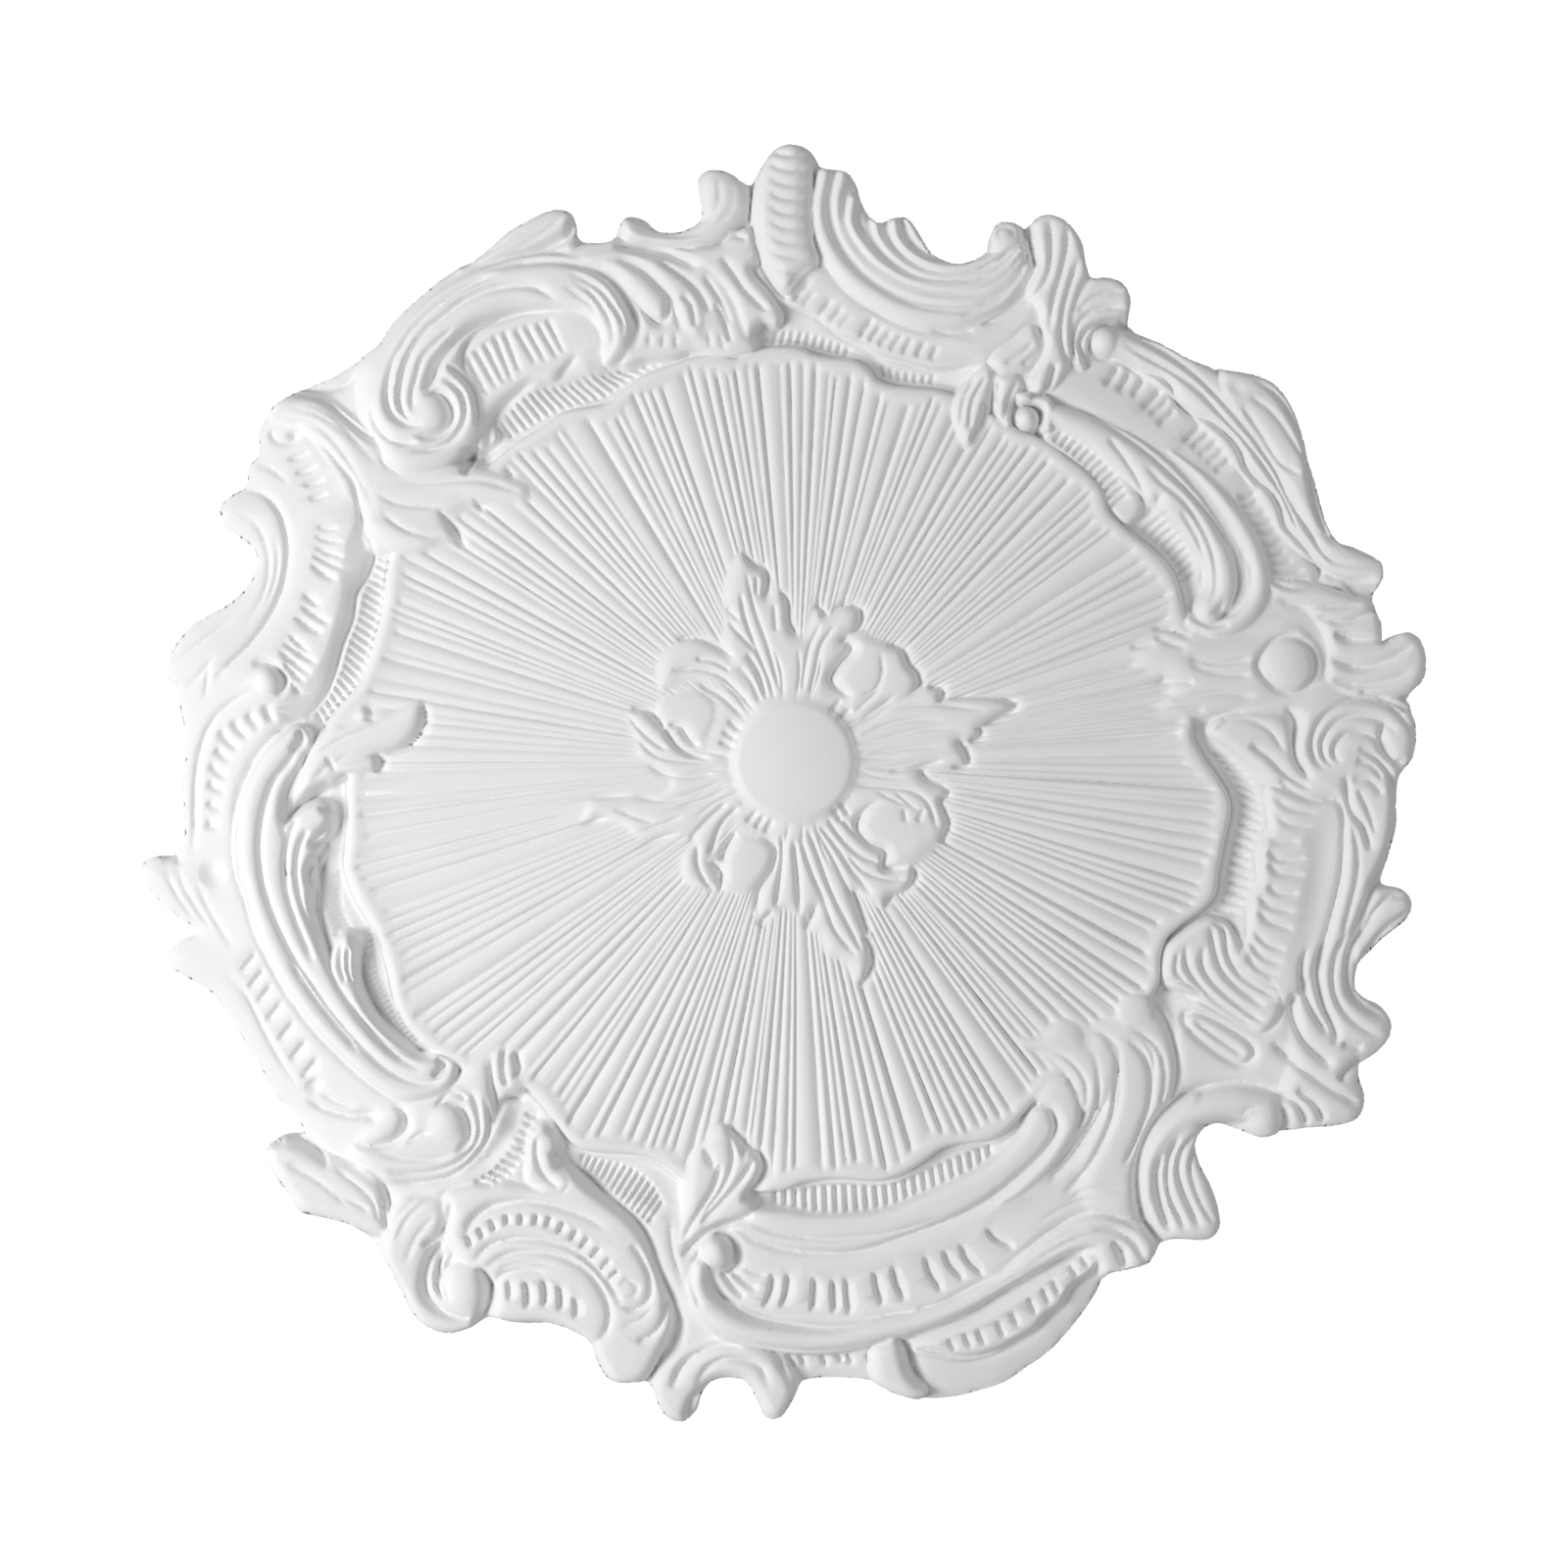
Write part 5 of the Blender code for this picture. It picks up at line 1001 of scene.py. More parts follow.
def left_bud(c):
    """Eyes and strands at the lower left of the field."""
    c.rungs([(-165, 215), (-156, 209), (-149, 202), (-144, 194), (-140, 186), (-138, 178)],
            [(-155, 217), (-146, 213), (-140, 206), (-136, 198), (-132, 190), (-130, 181)], 11, 2.0, 4.0, 0.15)
    c.dish([(-142, 172), (-142, 182), (-148, 194), (-158, 204), (-170, 211)], (6, 7, 7, 6, 4), 4.0, 0.3)
    c.pad([(-158, 148), (-150, 143), (-143, 148), (-139, 156), (-137, 164), (-142, 170), (-150, 172), (-152, 184),
           (-158, 198), (-168, 208), (-182, 214), (-200, 216), (-214, 214), (-222, 208), (-226, 198),
           (-218, 186), (-210, 178), (-198, 171), (-184, 166), (-172, 160), (-166, 152)],
          25.5, 9.0, 4.0, 3.0)
    c.cuts((2.4, 3.6, 2.6), (3.0, 6.0, 3.0), [(-155, 149), (-154, 162), (-152, 176), (-154, 188)])
    c.cuts((2.6, 4.0, 2.6), (4.0, 6.0, 4.0), [(-149, 173), (-143, 172), (-138, 175)], ends=0.3)
    c.cuts(2.6, 4.0, [(-143, 148), (-140, 156), (-142, 162)], [(-148, 146), (-148, 158), (-146, 166)])
    c.cuts(2.6, 3.6, [(-172, 165), (-164, 170), (-161, 180), (-161, 192), (-168, 202), (-180, 208), (-195, 210),
                      (-208, 209)],
           [(-158, 170), (-155, 182), (-157, 194), (-166, 205), (-176, 212), (-192, 215), (-205, 214)],
           [(-182, 177), (-178, 171), (-172, 169), (-166, 173)])
    c.ball(-177, 184, 9.5, 28.0, 2.8)
    c.cuts((2.4, 4.0, 4.0, 2.4), (3.0, 6.0, 6.0, 3.0), [(-180, 174), (-171, 176), (-166, 184), (-166, 193), (-172, 200)])
    c.cuts(2.4, 2.8, [(-185, 189), (-190, 190), (-198, 195)], [(-172, 200), (-184, 203), (-200, 202), (-214, 199)],
           ends=0.25)
    c.cuts((2.6, 5.0, 4.6, 2.6), (4.0, 7.0, 6.0, 3.0), [(-205, 176), (-199, 179), (-198, 186), (-203, 193), (-212, 196),
                                                     (-226, 195)])
    c.cuts((2.2, 3.0, 3.4, 5.0), (3.0, 4.0, 5.0, 8.0), [(-249, 173), (-240, 178), (-228, 181), (-216, 181), (-213, 185)])
    # leaf at the very left of the foot
    c.pad([(-250, 197), (-240, 202), (-226, 206), (-214, 212), (-208, 222), (-206, 240), (-212, 242), (-226, 237),
           (-240, 233), (-252, 230), (-257, 223), (-264, 213), (-269, 204), (-268, 196), (-260, 192)],
          23.5, 7.0, 4.0, 3.0)
    c.cuts((3.0, 4.4, 4.0, 2.6), (4.5, 6.5, 6.0, 3.5), [(-267, 197), (-258, 194), (-248, 196), (-241, 202), (-238, 208)])
    c.cuts(2.6, 3.4, [(-250, 190), (-241, 198), (-229, 203), (-218, 207), (-211, 213), (-207, 224), (-206, 238)],
           [(-210, 222), (-209, 232), (-207, 240)])
    c.cuts(2.0, 2.2, [(-234, 208), (-224, 215), (-215, 224), (-211, 236)], [(-258, 206), (-244, 213), (-228, 226)],
           [(-236, 220), (-226, 224), (-216, 230)])


def left_low(c):
    """Big C scroll down the lower left."""
    c.pad([(-252, -18), (-262, -15), (-272, -5), (-280, 10), (-285, 28), (-285, 54), (-280, 70), (-276, 84),
           (-268, 102), (-256, 122), (-242, 140), (-228, 154), (-214, 166), (-200, 173), (-188, 172), (-176, 166),
           (-172, 156), (-180, 150), (-194, 150), (-208, 142), (-222, 126), (-234, 106), (-240, 90), (-243, 75),
           (-244, 60), (-250, 45), (-258, 35), (-260, 20), (-256, 8), (-250, -2), (-246, -10)], 28.5, 6.0, 4.0, 4.0, 1.0)
    c.cuts((4.4, 5.2, 4.6, 4.4, 4.0, 3.4, 3.4, 2.6), (6.0, 7.0, 6.0, 5.5, 5.2, 5.0, 4.5, 3.4),
           [(-250, -20), (-258, -17), (-268, -9), (-277, 4), (-283, 20), (-284, 38), (-283, 54), (-279, 68),
            (-276, 80), (-271, 94), (-263, 110), (-253, 126), (-241, 141), (-228, 154), (-214, 166), (-200, 173)],
           ends=0.05)
    c.cuts((3.6, 3.2, 3.0, 3.0, 2.6), (5.0, 4.4, 4.2, 4.4, 3.4),
           [(-250, -10), (-257, 0), (-265, 11), (-270, 26), (-272, 42), (-271, 56), (-269, 66), (-264, 80),
            (-256, 97), (-246, 112), (-234, 129), (-221, 144), (-208, 156), (-194, 163), (-182, 163), (-174, 156)],
           ends=0.05)
    c.cuts(2.6, 3.6, [(-257, 39), (-259, 52), (-258, 66), (-253, 82), (-244, 103)],
           [(-257, 100), (-246, 117), (-232, 135), (-220, 149)],
           [(-252, 56), (-251, 70), (-245, 86), (-237, 103), (-226, 122), (-213, 140), (-201, 151), (-188, 157)])
    c.cuts((3.4, 5.6, 6.0, 4.0), (6.0, 9.0, 9.0, 6.0), [(-238, 48), (-243, 60), (-244, 76), (-239, 92), (-235, 104)])
    c.rungs([(-241, 58), (-242, 74), (-237, 90)], [(-231, 56), (-230, 74), (-224, 88)], 12, 1.6, 2.6, 0.15)
    c.rungs([(-222, 88), (-221, 104), (-216, 122), (-208, 136), (-196, 146)],
            [(-216, 84), (-213, 104), (-208, 118), (-200, 131), (-190, 142)], 24, 1.5, 2.8, 0.15)
    c.pad([(-235, 108), (-234, 96), (-229, 88), (-224, 90), (-223, 100), (-223, 112), (-216, 128), (-206, 140),
           (-194, 150), (-206, 144), (-222, 128)], 28.0, 4.0, 3.0, 3.0)
    c.cuts(2.4, 3.8, [(-230, 92), (-231, 104), (-228, 114)], [(-227, 94), (-227, 106), (-225, 114)])
    c.cuts((3.0, 4.6, 4.6, 3.6, 3.0), (5.0, 8.0, 8.0, 6.0, 5.0),
           [(-226, 87), (-222, 96), (-221, 108), (-217, 121), (-210, 133), (-200, 144), (-188, 150), (-180, 152)])
    c.cuts((2.4, 4.4, 2.4), (4.0, 6.5, 4.0), [(-183, 151), (-178, 155), (-184, 161)])
    for x, y, wide in ((-279, 104, 3.0), (-275, 112, 3.6), (-271, 120, 4.4), (-266, 129, 5.0), (-260, 139, 5.8),
                       (-254, 149, 6.4), (-248, 158, 6.4)):
        c.gouge([(x + 5, y - 7), (x + 1, y - 2), (x - 4, y + 4)], wide, 3.4)
    c.dish([(-248, 163), (-242, 168)], 6.0, 3.0, 0.3)
    c.cuts(2.2, 2.2, [(-292, 108), (-280, 120), (-272, 136), (-262, 154), (-254, 166)],
           [(-244, 168), (-234, 174), (-222, 177)], ends=0.3)


def left(c):
    """Crescent strands, curl and leaf at the left, with the gadroons beside them."""
    c.cuts((2.4, 5.0, 3.0), (4.0, 7.0, 4.0), [(-252, -17), (-251, -10), (-256, -4)])
    # leaf into the field with its knob
    c.pad([(-252, 10), (-246, -6), (-238, -16), (-226, -24), (-219, -29), (-213, -26), (-202, -27), (-190, -31),
           (-188, -22), (-192, -13), (-200, -7), (-212, -4), (-224, 2), (-232, 8), (-244, 16), (-256, 24)],
          27.0, 7.0, 3.5, 3.0)
    c.cuts(2.2, 2.4, [(-248, 2), (-236, -8), (-218, -16), (-198, -24)], [(-246, 10), (-236, 2), (-224, -4)],
           [(-232, -16), (-220, -24)], ends=0.25)
    c.cuts((2.4, 3.0, 2.0), (3.0, 4.0, 2.4), [(-238, -3), (-235, 2), (-230, 4)], [(-219, -29), (-216, -25), (-213, -23)],
           [(-217, -20), (-214, -24)], ends=0.25)
    c.cuts((1.6, 2.8, 2.4, 1.8), (3.0, 5.5, 4.5, 3.0), [(-189, -31), (-188, -20), (-192, -12), (-200, -6), (-210, -3)])
    c.lay([(-232, 3), (-224, 2), (-216, 1)], (3, 4.5, 4.5), 26.5, 1, 0, 4.0, 3.0)
    c.cuts((1.8, 3.0, 2.0), (3.0, 5.5, 3.0), [(-214, -4), (-210, 0), (-212, 6)])
    # curl
    c.pad([(-262, 42), (-258, 30), (-251, 23), (-243, 20), (-237, 23), (-235, 31), (-239, 39), (-244, 46), (-247, 56),
           (-254, 60), (-261, 56)], 28.5, 5.0, 3.0, 4.0)
    c.cuts((3.4, 6.0, 6.0, 3.0), (6.0, 9.0, 8.0, 4.0), [(-259, 32), (-253, 23), (-245, 18), (-236, 10)])
    c.cuts((2.4, 5.0, 3.4), (4.0, 7.0, 4.0), [(-243, 23), (-236, 26), (-235, 32), (-241, 37), (-248, 44)])
    c.cuts(2.8, 4.0, [(-252, 27), (-257, 39), (-259, 52), (-258, 66)], [(-247, 34), (-252, 45), (-253, 58), (-251, 70)])
    c.cuts((3.0, 4.6, 3.0), (5.0, 7.0, 4.0), [(-238, 40), (-246, 43)], [(-243, 47), (-247, 56), (-246, 66)])
    c.dish([(-239, 44), (-241, 56), (-242, 70), (-241, 86)], (5, 7, 7, 6), 3.5, 0.3)
    # smooth rim and gadroons
    c.cuts(2.6, 3.0, [(-276, -36), (-287, -30), (-297, -21), (-303, -9), (-306, 5), (-307, 20), (-307, 35),
                      (-308, 47)], ends=0.15)
    for start, end in (((-301, 31), (-293, 33)), ((-300, 20), (-292, 24)), ((-300, 10), (-290, 15)),
                       ((-299, 1), (-289, 8)), ((-296, -7), (-287, -1)), ((-294, -16), (-283, -6)),
                       ((-287, -21), (-278, -12)), ((-279, -25), (-272, -17)), ((-270, -29), (-265, -20))):
        c.cut([start, ((start[0] + end[0]) / 2 - 0.5, (start[1] + end[1]) / 2 + 1), end], (3.6, 2.4), (4.4, 3.0), 0.2)
    c.ball(-268, -41, 6.0, 26.8, 2.5)
    c.cuts((2.0, 3.0, 3.4, 2.0), (3.0, 5.0, 6.0, 3.0), [(-277, -50), (-268, -50), (-261, -44), (-260, -39), (-264, -33)])
    c.dish([(-297, 57), (-296, 58)], 8.0, 3.4, 0)
    c.cuts(2.0, 1.8, [(-322, 54), (-316, 68), (-306, 82)], [(-316, 54), (-310, 68), (-298, 86)],
           [(-306, 60), (-298, 78), (-286, 96)], ends=0.3)
    c.cuts((3.6, 2.6), (5.0, 3.0), [(-324, 48), (-316, 49), (-316, 53)], ends=0.2)


def left_top(c):
    """Smooth bay and ribbed hollow at the upper left."""
    c.cuts((2.6, 3.0, 2.4), (4.0, 4.4, 3.0), [(-282, -139), (-272, -137), (-264, -129), (-260, -118), (-259, -105),
                                           (-262, -88), (-268, -74), (-278, -60), (-290, -48), (-298, -40)])
    c.cuts(2.0, 1.8, [(-288, -129), (-276, -122), (-270, -110), (-269, -96), (-273, -82), (-281, -70)],
           [(-266, -116), (-264, -104), (-266, -90), (-272, -78)], [(-276, -152), (-268, -150), (-258, -142)], ends=0.3)
    c.cuts((2.0, 2.6, 3.0, 3.0, 3.0, 2.6), (2.5, 4.0, 5.0, 5.0, 5.0, 4.5),
           [(-254, -163), (-247, -165), (-240, -161), (-232, -152), (-225, -143), (-222, -131), (-219, -118),
            (-215, -108), (-218, -96), (-224, -86), (-226, -73), (-231, -60), (-235, -46), (-240, -34), (-250, -21)])
    for start, end, wide, deep in (
            ((-259, -154), (-247, -158), 3.4, 3.6), ((-255, -147), (-243, -151), 3.4, 3.8),
            ((-251, -141), (-239, -144), 3.4, 3.8), ((-248, -134), (-237, -137), 3.4, 3.4),
            ((-244, -120), (-232, -119), 3.0, 3.4), ((-245, -115), (-230, -112), 3.0, 3.6),
            ((-245, -110), (-229, -104), 3.0, 4.6), ((-246, -106), (-229, -98), 3.0, 4.8),
            ((-247, -101), (-233, -92), 3.2, 5.4), ((-251, -86), (-241, -79), 3.2, 4.8),
            ((-252, -80), (-236, -70), 3.4, 5.4), ((-255, -74), (-240, -65), 3.6, 5.6),
            ((-258, -65), (-246, -55), 2.8, 4.4), ((-261, -61), (-243, -50), 3.0, 5.2),
            ((-263, -57), (-246, -44), 3.4, 5.6), ((-261, -51), (-249, -40), 3.4, 5.2),
            ((-257, -41), (-251, -34), 2.8, 3.6)):
        c.cut([start, ((start[0] + end[0]) / 2, (start[1] + end[1]) / 2 + 0.5), end],
              (wide * 0.5, wide * 0.9, wide * 0.6), (deep * 0.6, deep * 0.9, deep * 0.5), 0.2)
    c.rungs([(-216, -108), (-219, -92), (-223, -76), (-229, -58), (-234, -42), (-246, -24)],
            [(-205, -104), (-209, -88), (-211, -72), (-216, -56), (-223, -39), (-241, -15)], 22, 2.0, 3.4, 0.12)
    # rolled top of the bay
    c.cuts((2.0, 3.0, 4.6), (2.4, 3.4, 6.0), [(-268, -170), (-266, -165), (-260, -163), (-256, -165), (-256, -169)])
    c.cuts(2.2, 2.0, [(-258, -176), (-244, -172), (-232, -160), (-222, -145), (-214, -130)],
           [(-252, -182), (-238, -178), (-222, -162), (-210, -148)], ends=0.35)
    c.cuts((2.2, 3.4, 3.4, 2.6), (3.0, 5.0, 5.0, 3.0), [(-260, -187), (-248, -187), (-238, -183), (-229, -175),
                                                     (-219, -167), (-208, -163), (-196, -162)])
    c.cuts(2.4, 3.4, [(-256, -191), (-244, -190), (-232, -192), (-224, -198)], ends=0.25)
    c.cuts(1.8, 1.6, [(-266, -176), (-252, -179), (-238, -174), (-226, -164)],
           [(-262, -172), (-248, -172), (-236, -166), (-226, -156)], ends=0.3)
    c.cuts(2.0, 1.8, [(-318, -50), (-302, -62), (-286, -74)], [(-300, -50), (-300, -40), (-302, -32)],
           [(-312, -38), (-304, -44), (-296, -54)], ends=0.3)


def left_leaf(c):
    """Broad leaf reaching into the field from the upper left."""
    c.lay([(-262, -182), (-246, -178), (-230, -164), (-216, -146), (-206, -128)], (5, 9, 12, 16, 14),
          (25.0, 25.5, 26.0, 26.5, 25.5), 1, 0, 3.0, 2.0)
    c.pad([(-220, -142), (-222, -154), (-214, -162), (-202, -158), (-180, -154),
           (-166, -149), (-152, -149), (-142, -146), (-134, -140), (-134, -133), (-144, -131), (-158, -131), (-166, -129),
           (-172, -122), (-170, -114), (-176, -109), (-190, -108), (-206, -107), (-216, -110), (-221, -126)],
          26.5, 12.0, 4.0, 2.0)
    c.lay([(-214, -122), (-200, -116), (-188, -115), (-178, -117)], (5, 9, 8, 4), (26.5, 28.0, 28.0, 26.5), 1, 0, 3.5, 2.0)
    c.lay([(-204, -149), (-186, -143), (-164, -141), (-140, -137)], (6, 8, 9, 5), (26.0, 27.5, 28.0, 27.0), 1, 0, 3.5, 2.0)
    c.cuts(2.2, 2.4, [(-212, -136), (-204, -132), (-190, -130), (-176, -130)],
           [(-210, -127), (-200, -119), (-188, -115), (-178, -115)],
           [(-202, -141), (-182, -142), (-162, -143), (-148, -140), (-136, -135)], ends=0.25)
    c.cuts((1.8, 2.8, 2.4), (3.0, 5.0, 3.5), [(-181, -128), (-174, -120), (-167, -109)])
    c.cuts((1.6, 2.4), (2.6, 4.0), [(-163, -135), (-159, -127)], ends=0.3)
    c.cuts((1.6, 2.4), (2.6, 4.0), [(-147, -151), (-143, -144)], ends=0.3)
    c.cuts((2.2, 3.2, 2.4), (3.0, 4.4, 3.0), [(-211, -156), (-205, -150), (-196, -148), (-185, -150), (-176, -156),
                                          (-170, -164)])
    c.cuts((2.6, 4.4, 4.0), (5.0, 8.0, 7.0), [(-166, -164), (-164, -156), (-168, -149)])


def upper_left_scroll(c):
    """Big C scroll at the upper left with its volute, and the tongues that hang beside it."""
    c.rungs([(-154, -176), (-140, -188), (-128, -191), (-115, -194), (-105, -198), (-95, -199),
             (-85, -203), (-75, -209), (-62, -211), (-50, -212)],
            [(-147, -162), (-131, -172), (-118, -179), (-105, -183), (-95, -186), (-85, -193),
             (-75, -200), (-62, -205), (-49, -209), (-38, -210)], 27, 1.6, 3.0, 0.2, 0.02)
    # leaf tip behind the scroll
    c.pad([(-112, -270), (-112, -279), (-122, -281), (-140, -274), (-160, -259), (-174, -248), (-150, -252),
           (-126, -258), (-110, -258)], 25.0, 6.0, 4.0)
    c.cuts(2.2, 1.8, [(-170, -251), (-150, -263), (-134, -272), (-122, -280)],
           [(-160, -255), (-140, -262), (-124, -272), (-117, -279)])
    c.cuts((2.2, 3.2, 4.6, 5.0, 3.0), (3.0, 4.4, 7.0, 8.0, 5.0),
           [(-170, -251), (-149, -256), (-130, -261), (-116, -268), (-112, -280)], ends=0.15)
    # ribbed hollow under the scroll
    c.pad([(-168, -210), (-150, -224), (-122, -232), (-104, -228), (-97, -212), (-112, -203), (-122, -195),
           (-134, -194), (-144, -186), (-154, -175), (-152, -165), (-160, -160), (-166, -180), (-170, -196)],
          24.0, 4.0, 2.5, 4.0)
    for start, end in (((-167, -207), (-156, -186)), ((-163, -211), (-151, -190)), ((-158, -214), (-147, -192)),
                       ((-153, -218), (-143, -193)), ((-148, -220), (-139, -197)), ((-142, -221), (-131, -202)),
                       ((-137, -223), (-126, -203)), ((-131, -224), (-120, -205)), ((-126, -226), (-117, -208))):
        c.cut([start, end], (2.6, 1.6), (3.8, 2.0), 0.15)
    c.cuts((3.0, 6.0, 6.0, 4.0), (3.0, 5.0, 5.5, 4.0),
           [(-132, -195), (-141, -188), (-149, -181), (-155, -173), (-156, -163), (-160, -152), (-164, -147)])
    # tongues, flowing out of the scroll
    c.pad([(-120, -256), (-92, -266), (-66, -263), (-49, -260), (-38, -250), (-30, -236), (-24, -222),
           (-20, -211), (-30, -207), (-42, -208), (-52, -210), (-62, -207), (-76, -206), (-88, -203), (-94, -214),
           (-100, -232)], 26.5, 8.0, 3.5, 3.0)
    c.pad([(-112, -256), (-92, -262), (-72, -258), (-58, -250), (-48, -238), (-44, -224), (-48, -214),
           (-56, -218), (-60, -228), (-70, -244), (-84, -254), (-104, -250)], 28.5, 6.0, 3.5, 3.0)
    c.pad([(-104, -256), (-88, -256), (-76, -250), (-66, -241), (-62, -232), (-66, -224), (-75, -227),
           (-84, -238), (-92, -248)], 29.5, 8.0, 3.0, 3.0)
    c.cuts(2.8, 3.0, [(-90, -256), (-79, -251), (-69, -242), (-63, -235), (-60, -227), (-57, -219)])
    c.cuts((2.4, 3.6, 2.6), (3.0, 6.0, 3.0), [(-84, -239), (-75, -228), (-68, -223), (-64, -228), (-64, -237)])
    c.cuts((3.0, 5.4, 4.6, 3.0), (5.0, 8.0, 7.0, 4.0), [(-92, -263), (-72, -261), (-60, -257), (-48, -251)])
    c.cuts(2.4, 3.0, [(-69, -255), (-60, -249), (-49, -240), (-42, -228)], [(-57, -238), (-52, -232), (-50, -221)],
           [(-92, -267), (-81, -265), (-65, -263), (-49, -261)], [(-46, -248), (-38, -236), (-32, -222)],
           [(-40, -234), (-35, -224), (-32, -213)])
    c.cuts(2.0, 2.0, [(-80, -222), (-80, -212)], [(-73, -219), (-74, -210)], [(-66, -218), (-67, -210)],
           [(-60, -219), (-60, -210)], [(-44, -220), (-42, -210)], [(-38, -218), (-35, -209)], ends=0.4)
    # scroll body with its volute
    c.pad([(-222, -204), (-207, -222), (-192, -238), (-176, -250), (-162, -256), (-140, -259), (-118, -262),
           (-96, -262), (-84, -250), (-100, -240), (-140, -240), (-180, -215), (-196, -180), (-212, -164),
           (-222, -172), (-224, -190)], 27.0, 14.0, 9.0, 4.0)
    c.pad([(-212, -196), (-205, -212), (-192, -229), (-176, -242), (-158, -251), (-140, -256), (-120, -258),
           (-103, -254), (-92, -246), (-84, -235), (-79, -221), (-81, -211), (-87, -205), (-95, -203), (-97, -210),
           (-98, -219), (-104, -227), (-114, -231), (-128, -230), (-144, -229), (-158, -223), (-168, -214),
           (-170, -202), (-162, -190), (-159, -177), (-162, -165), (-171, -155), (-184, -148), (-198, -146),
           (-208, -152), (-210, -160), (-216, -172), (-217, -184)], 31.0, 9.0, 5.0, 4.0)
    c.ball(-185, -178, 9.5, 32.0, 4.0)
    c.cuts((3.0, 3.4, 3.4, 3.0), (4.5, 5.0, 5.0, 4.0),
           [(-188, -172), (-194, -171), (-200, -173), (-205, -178), (-207, -186), (-206, -195), (-204, -203),
            (-200, -210), (-194, -219), (-186, -227), (-175, -236), (-163, -243), (-150, -248)], ends=0.08)
    c.cuts((3.0, 3.0, 3.4, 3.4, 2.6), (4.4, 4.4, 5.0, 4.6, 3.4),
           [(-191, -172), (-197, -175), (-200, -181), (-200, -190), (-197, -203), (-193, -211), (-186, -220),
            (-176, -228), (-166, -235), (-149, -241), (-132, -241), (-120, -234)], ends=0.08)
    c.cuts(2.4, 3.0, [(-193, -176), (-194, -186), (-192, -194), (-189, -204), (-183, -211), (-172, -221)])
    c.cuts((5.4, 5.0, 3.6, 3.0, 2.6), (8.5, 7.5, 6.0, 5.0, 4.0),
           [(-188, -187), (-184, -194), (-182, -200), (-177, -208), (-170, -216), (-161, -222), (-151, -226),
            (-141, -229), (-130, -230), (-117, -232)])
    c.cuts((2.4, 3.0, 3.0, 3.6, 5.4, 3.6), (3.0, 4.4, 4.4, 5.5, 8.5, 5.5),
           [(-160, -248), (-150, -251), (-141, -253), (-130, -254), (-120, -254), (-109, -252), (-100, -249),
            (-92, -243), (-86, -235), (-81, -224), (-83, -213), (-87, -207)], ends=0.2)
    c.cuts(2.6, 3.8, [(-115, -249), (-107, -245), (-99, -240), (-93, -233), (-87, -223), (-87, -213)],
           [(-113, -245), (-104, -239), (-98, -232), (-94, -225), (-92, -216), (-95, -207)], ends=0.35)
    c.cuts(2.2, 2.6, [(-117, -242), (-110, -237), (-103, -232), (-100, -225)], ends=0.4)
    c.cuts(2.6, 3.4, [(-110, -208), (-115, -202), (-122, -195)], [(-83, -211), (-88, -205), (-97, -200)], ends=0.3)
    c.cuts((2.4, 4.6, 5.0, 4.0, 2.2), (4.0, 7.5, 8.0, 6.0, 2.5),
           [(-188, -187), (-180, -187), (-175, -181), (-174, -175), (-177, -169), (-184, -165), (-194, -165)])
    c.cuts((2.6, 3.2, 2.6), (3.6, 5.0, 3.6),
           [(-182, -197), (-175, -193), (-169, -187), (-167, -178), (-169, -170), (-174, -163), (-182, -159),
            (-196, -158)],
           [(-178, -203), (-170, -197), (-164, -190), (-161, -179), (-161, -170)],
           [(-216, -182), (-213, -172), (-207, -165), (-200, -162), (-190, -162)], ends=0.15)
    c.cuts((3.0, 5.0, 3.0), (5.0, 8.0, 5.0), [(-166, -161), (-165, -155), (-166, -150), (-169, -146)])


MOTIFS = (crest, top_band, top_shell, s_leaf, hook_and_pendant, right_top, right_eye, right_whirl,
          right_cove, right_low, bottom_right, corner_fan, bottom, bottom_left, left_bud, left_low,
          left, left_leaf, left_top, upper_left_scroll, centre_leaves)


def model(pitch=0.5):
    clay = Clay(345.0, pitch)
    ground(clay)
    for motif in MOTIFS:
        motif(clay)
    boss(clay)
    near_boss = np.hypot(clay.x, clay.y) < 31.0
    clay.grooves[near_boss] = 0.0
    heights = clay.heights()
    # the outer edge is rounded over
    rounding = 1 - np.clip(clay.deep / RIM_ROUNDING, 0, 1)
    cap = FRAME_RIM + 1 + 17.0 * np.sqrt(1 - rounding**2) + 5.0 * np.clip(clay.deep - RIM_ROUNDING, 0, None)
    heights = np.minimum(heights, cap)
    heights = np.maximum(heights, 6.0)
    return clay, np.where(clay.within, heights, 0.0)


def ring_radii(angle):
    """Radius of every ring of the sheet on the given spokes, from near the axis to past the outline."""
    edge = np.interp(angle, *polar_edge(LIP))
    beyond = np.interp(angle, *polar_edge(SURROUND))
    rings = [0 * edge + radius for radius in np.linspace(0.8, BOSS_REACH, BOSS_RINGS)]
    rings += [0 * edge + radius for radius in np.linspace(BOSS_REACH, LEAF_REACH, LEAF_RINGS)[1:]]
    for share in np.linspace(0, 1, FIELD_RINGS)[1:]:
        rings.append(LEAF_REACH + (edge - LEAF_REACH) * share)
    for share in np.linspace(0, 1, FRAME_RINGS)[1:]:
        rings.append(edge + (beyond - edge) * share)
    return np.array(rings)


def sample(clay, raster, x, y):
    """The value of a raster between its four nearest places."""
    column = np.clip((x + clay.half) / clay.pitch, 0, raster.shape[1] - 1.001)
    row = np.clip((y + clay.half) / clay.pitch, 0, raster.shape[0] - 1.001)
    i = row.astype(int)
    j = column.astype(int)
    u = column - j
    v = row - i
    upper = raster[i, j] * (1 - u) + raster[i, j + 1] * u
    lower = raster[i + 1, j] * (1 - u) + raster[i + 1, j + 1] * u
    return upper * (1 - v) + lower * v


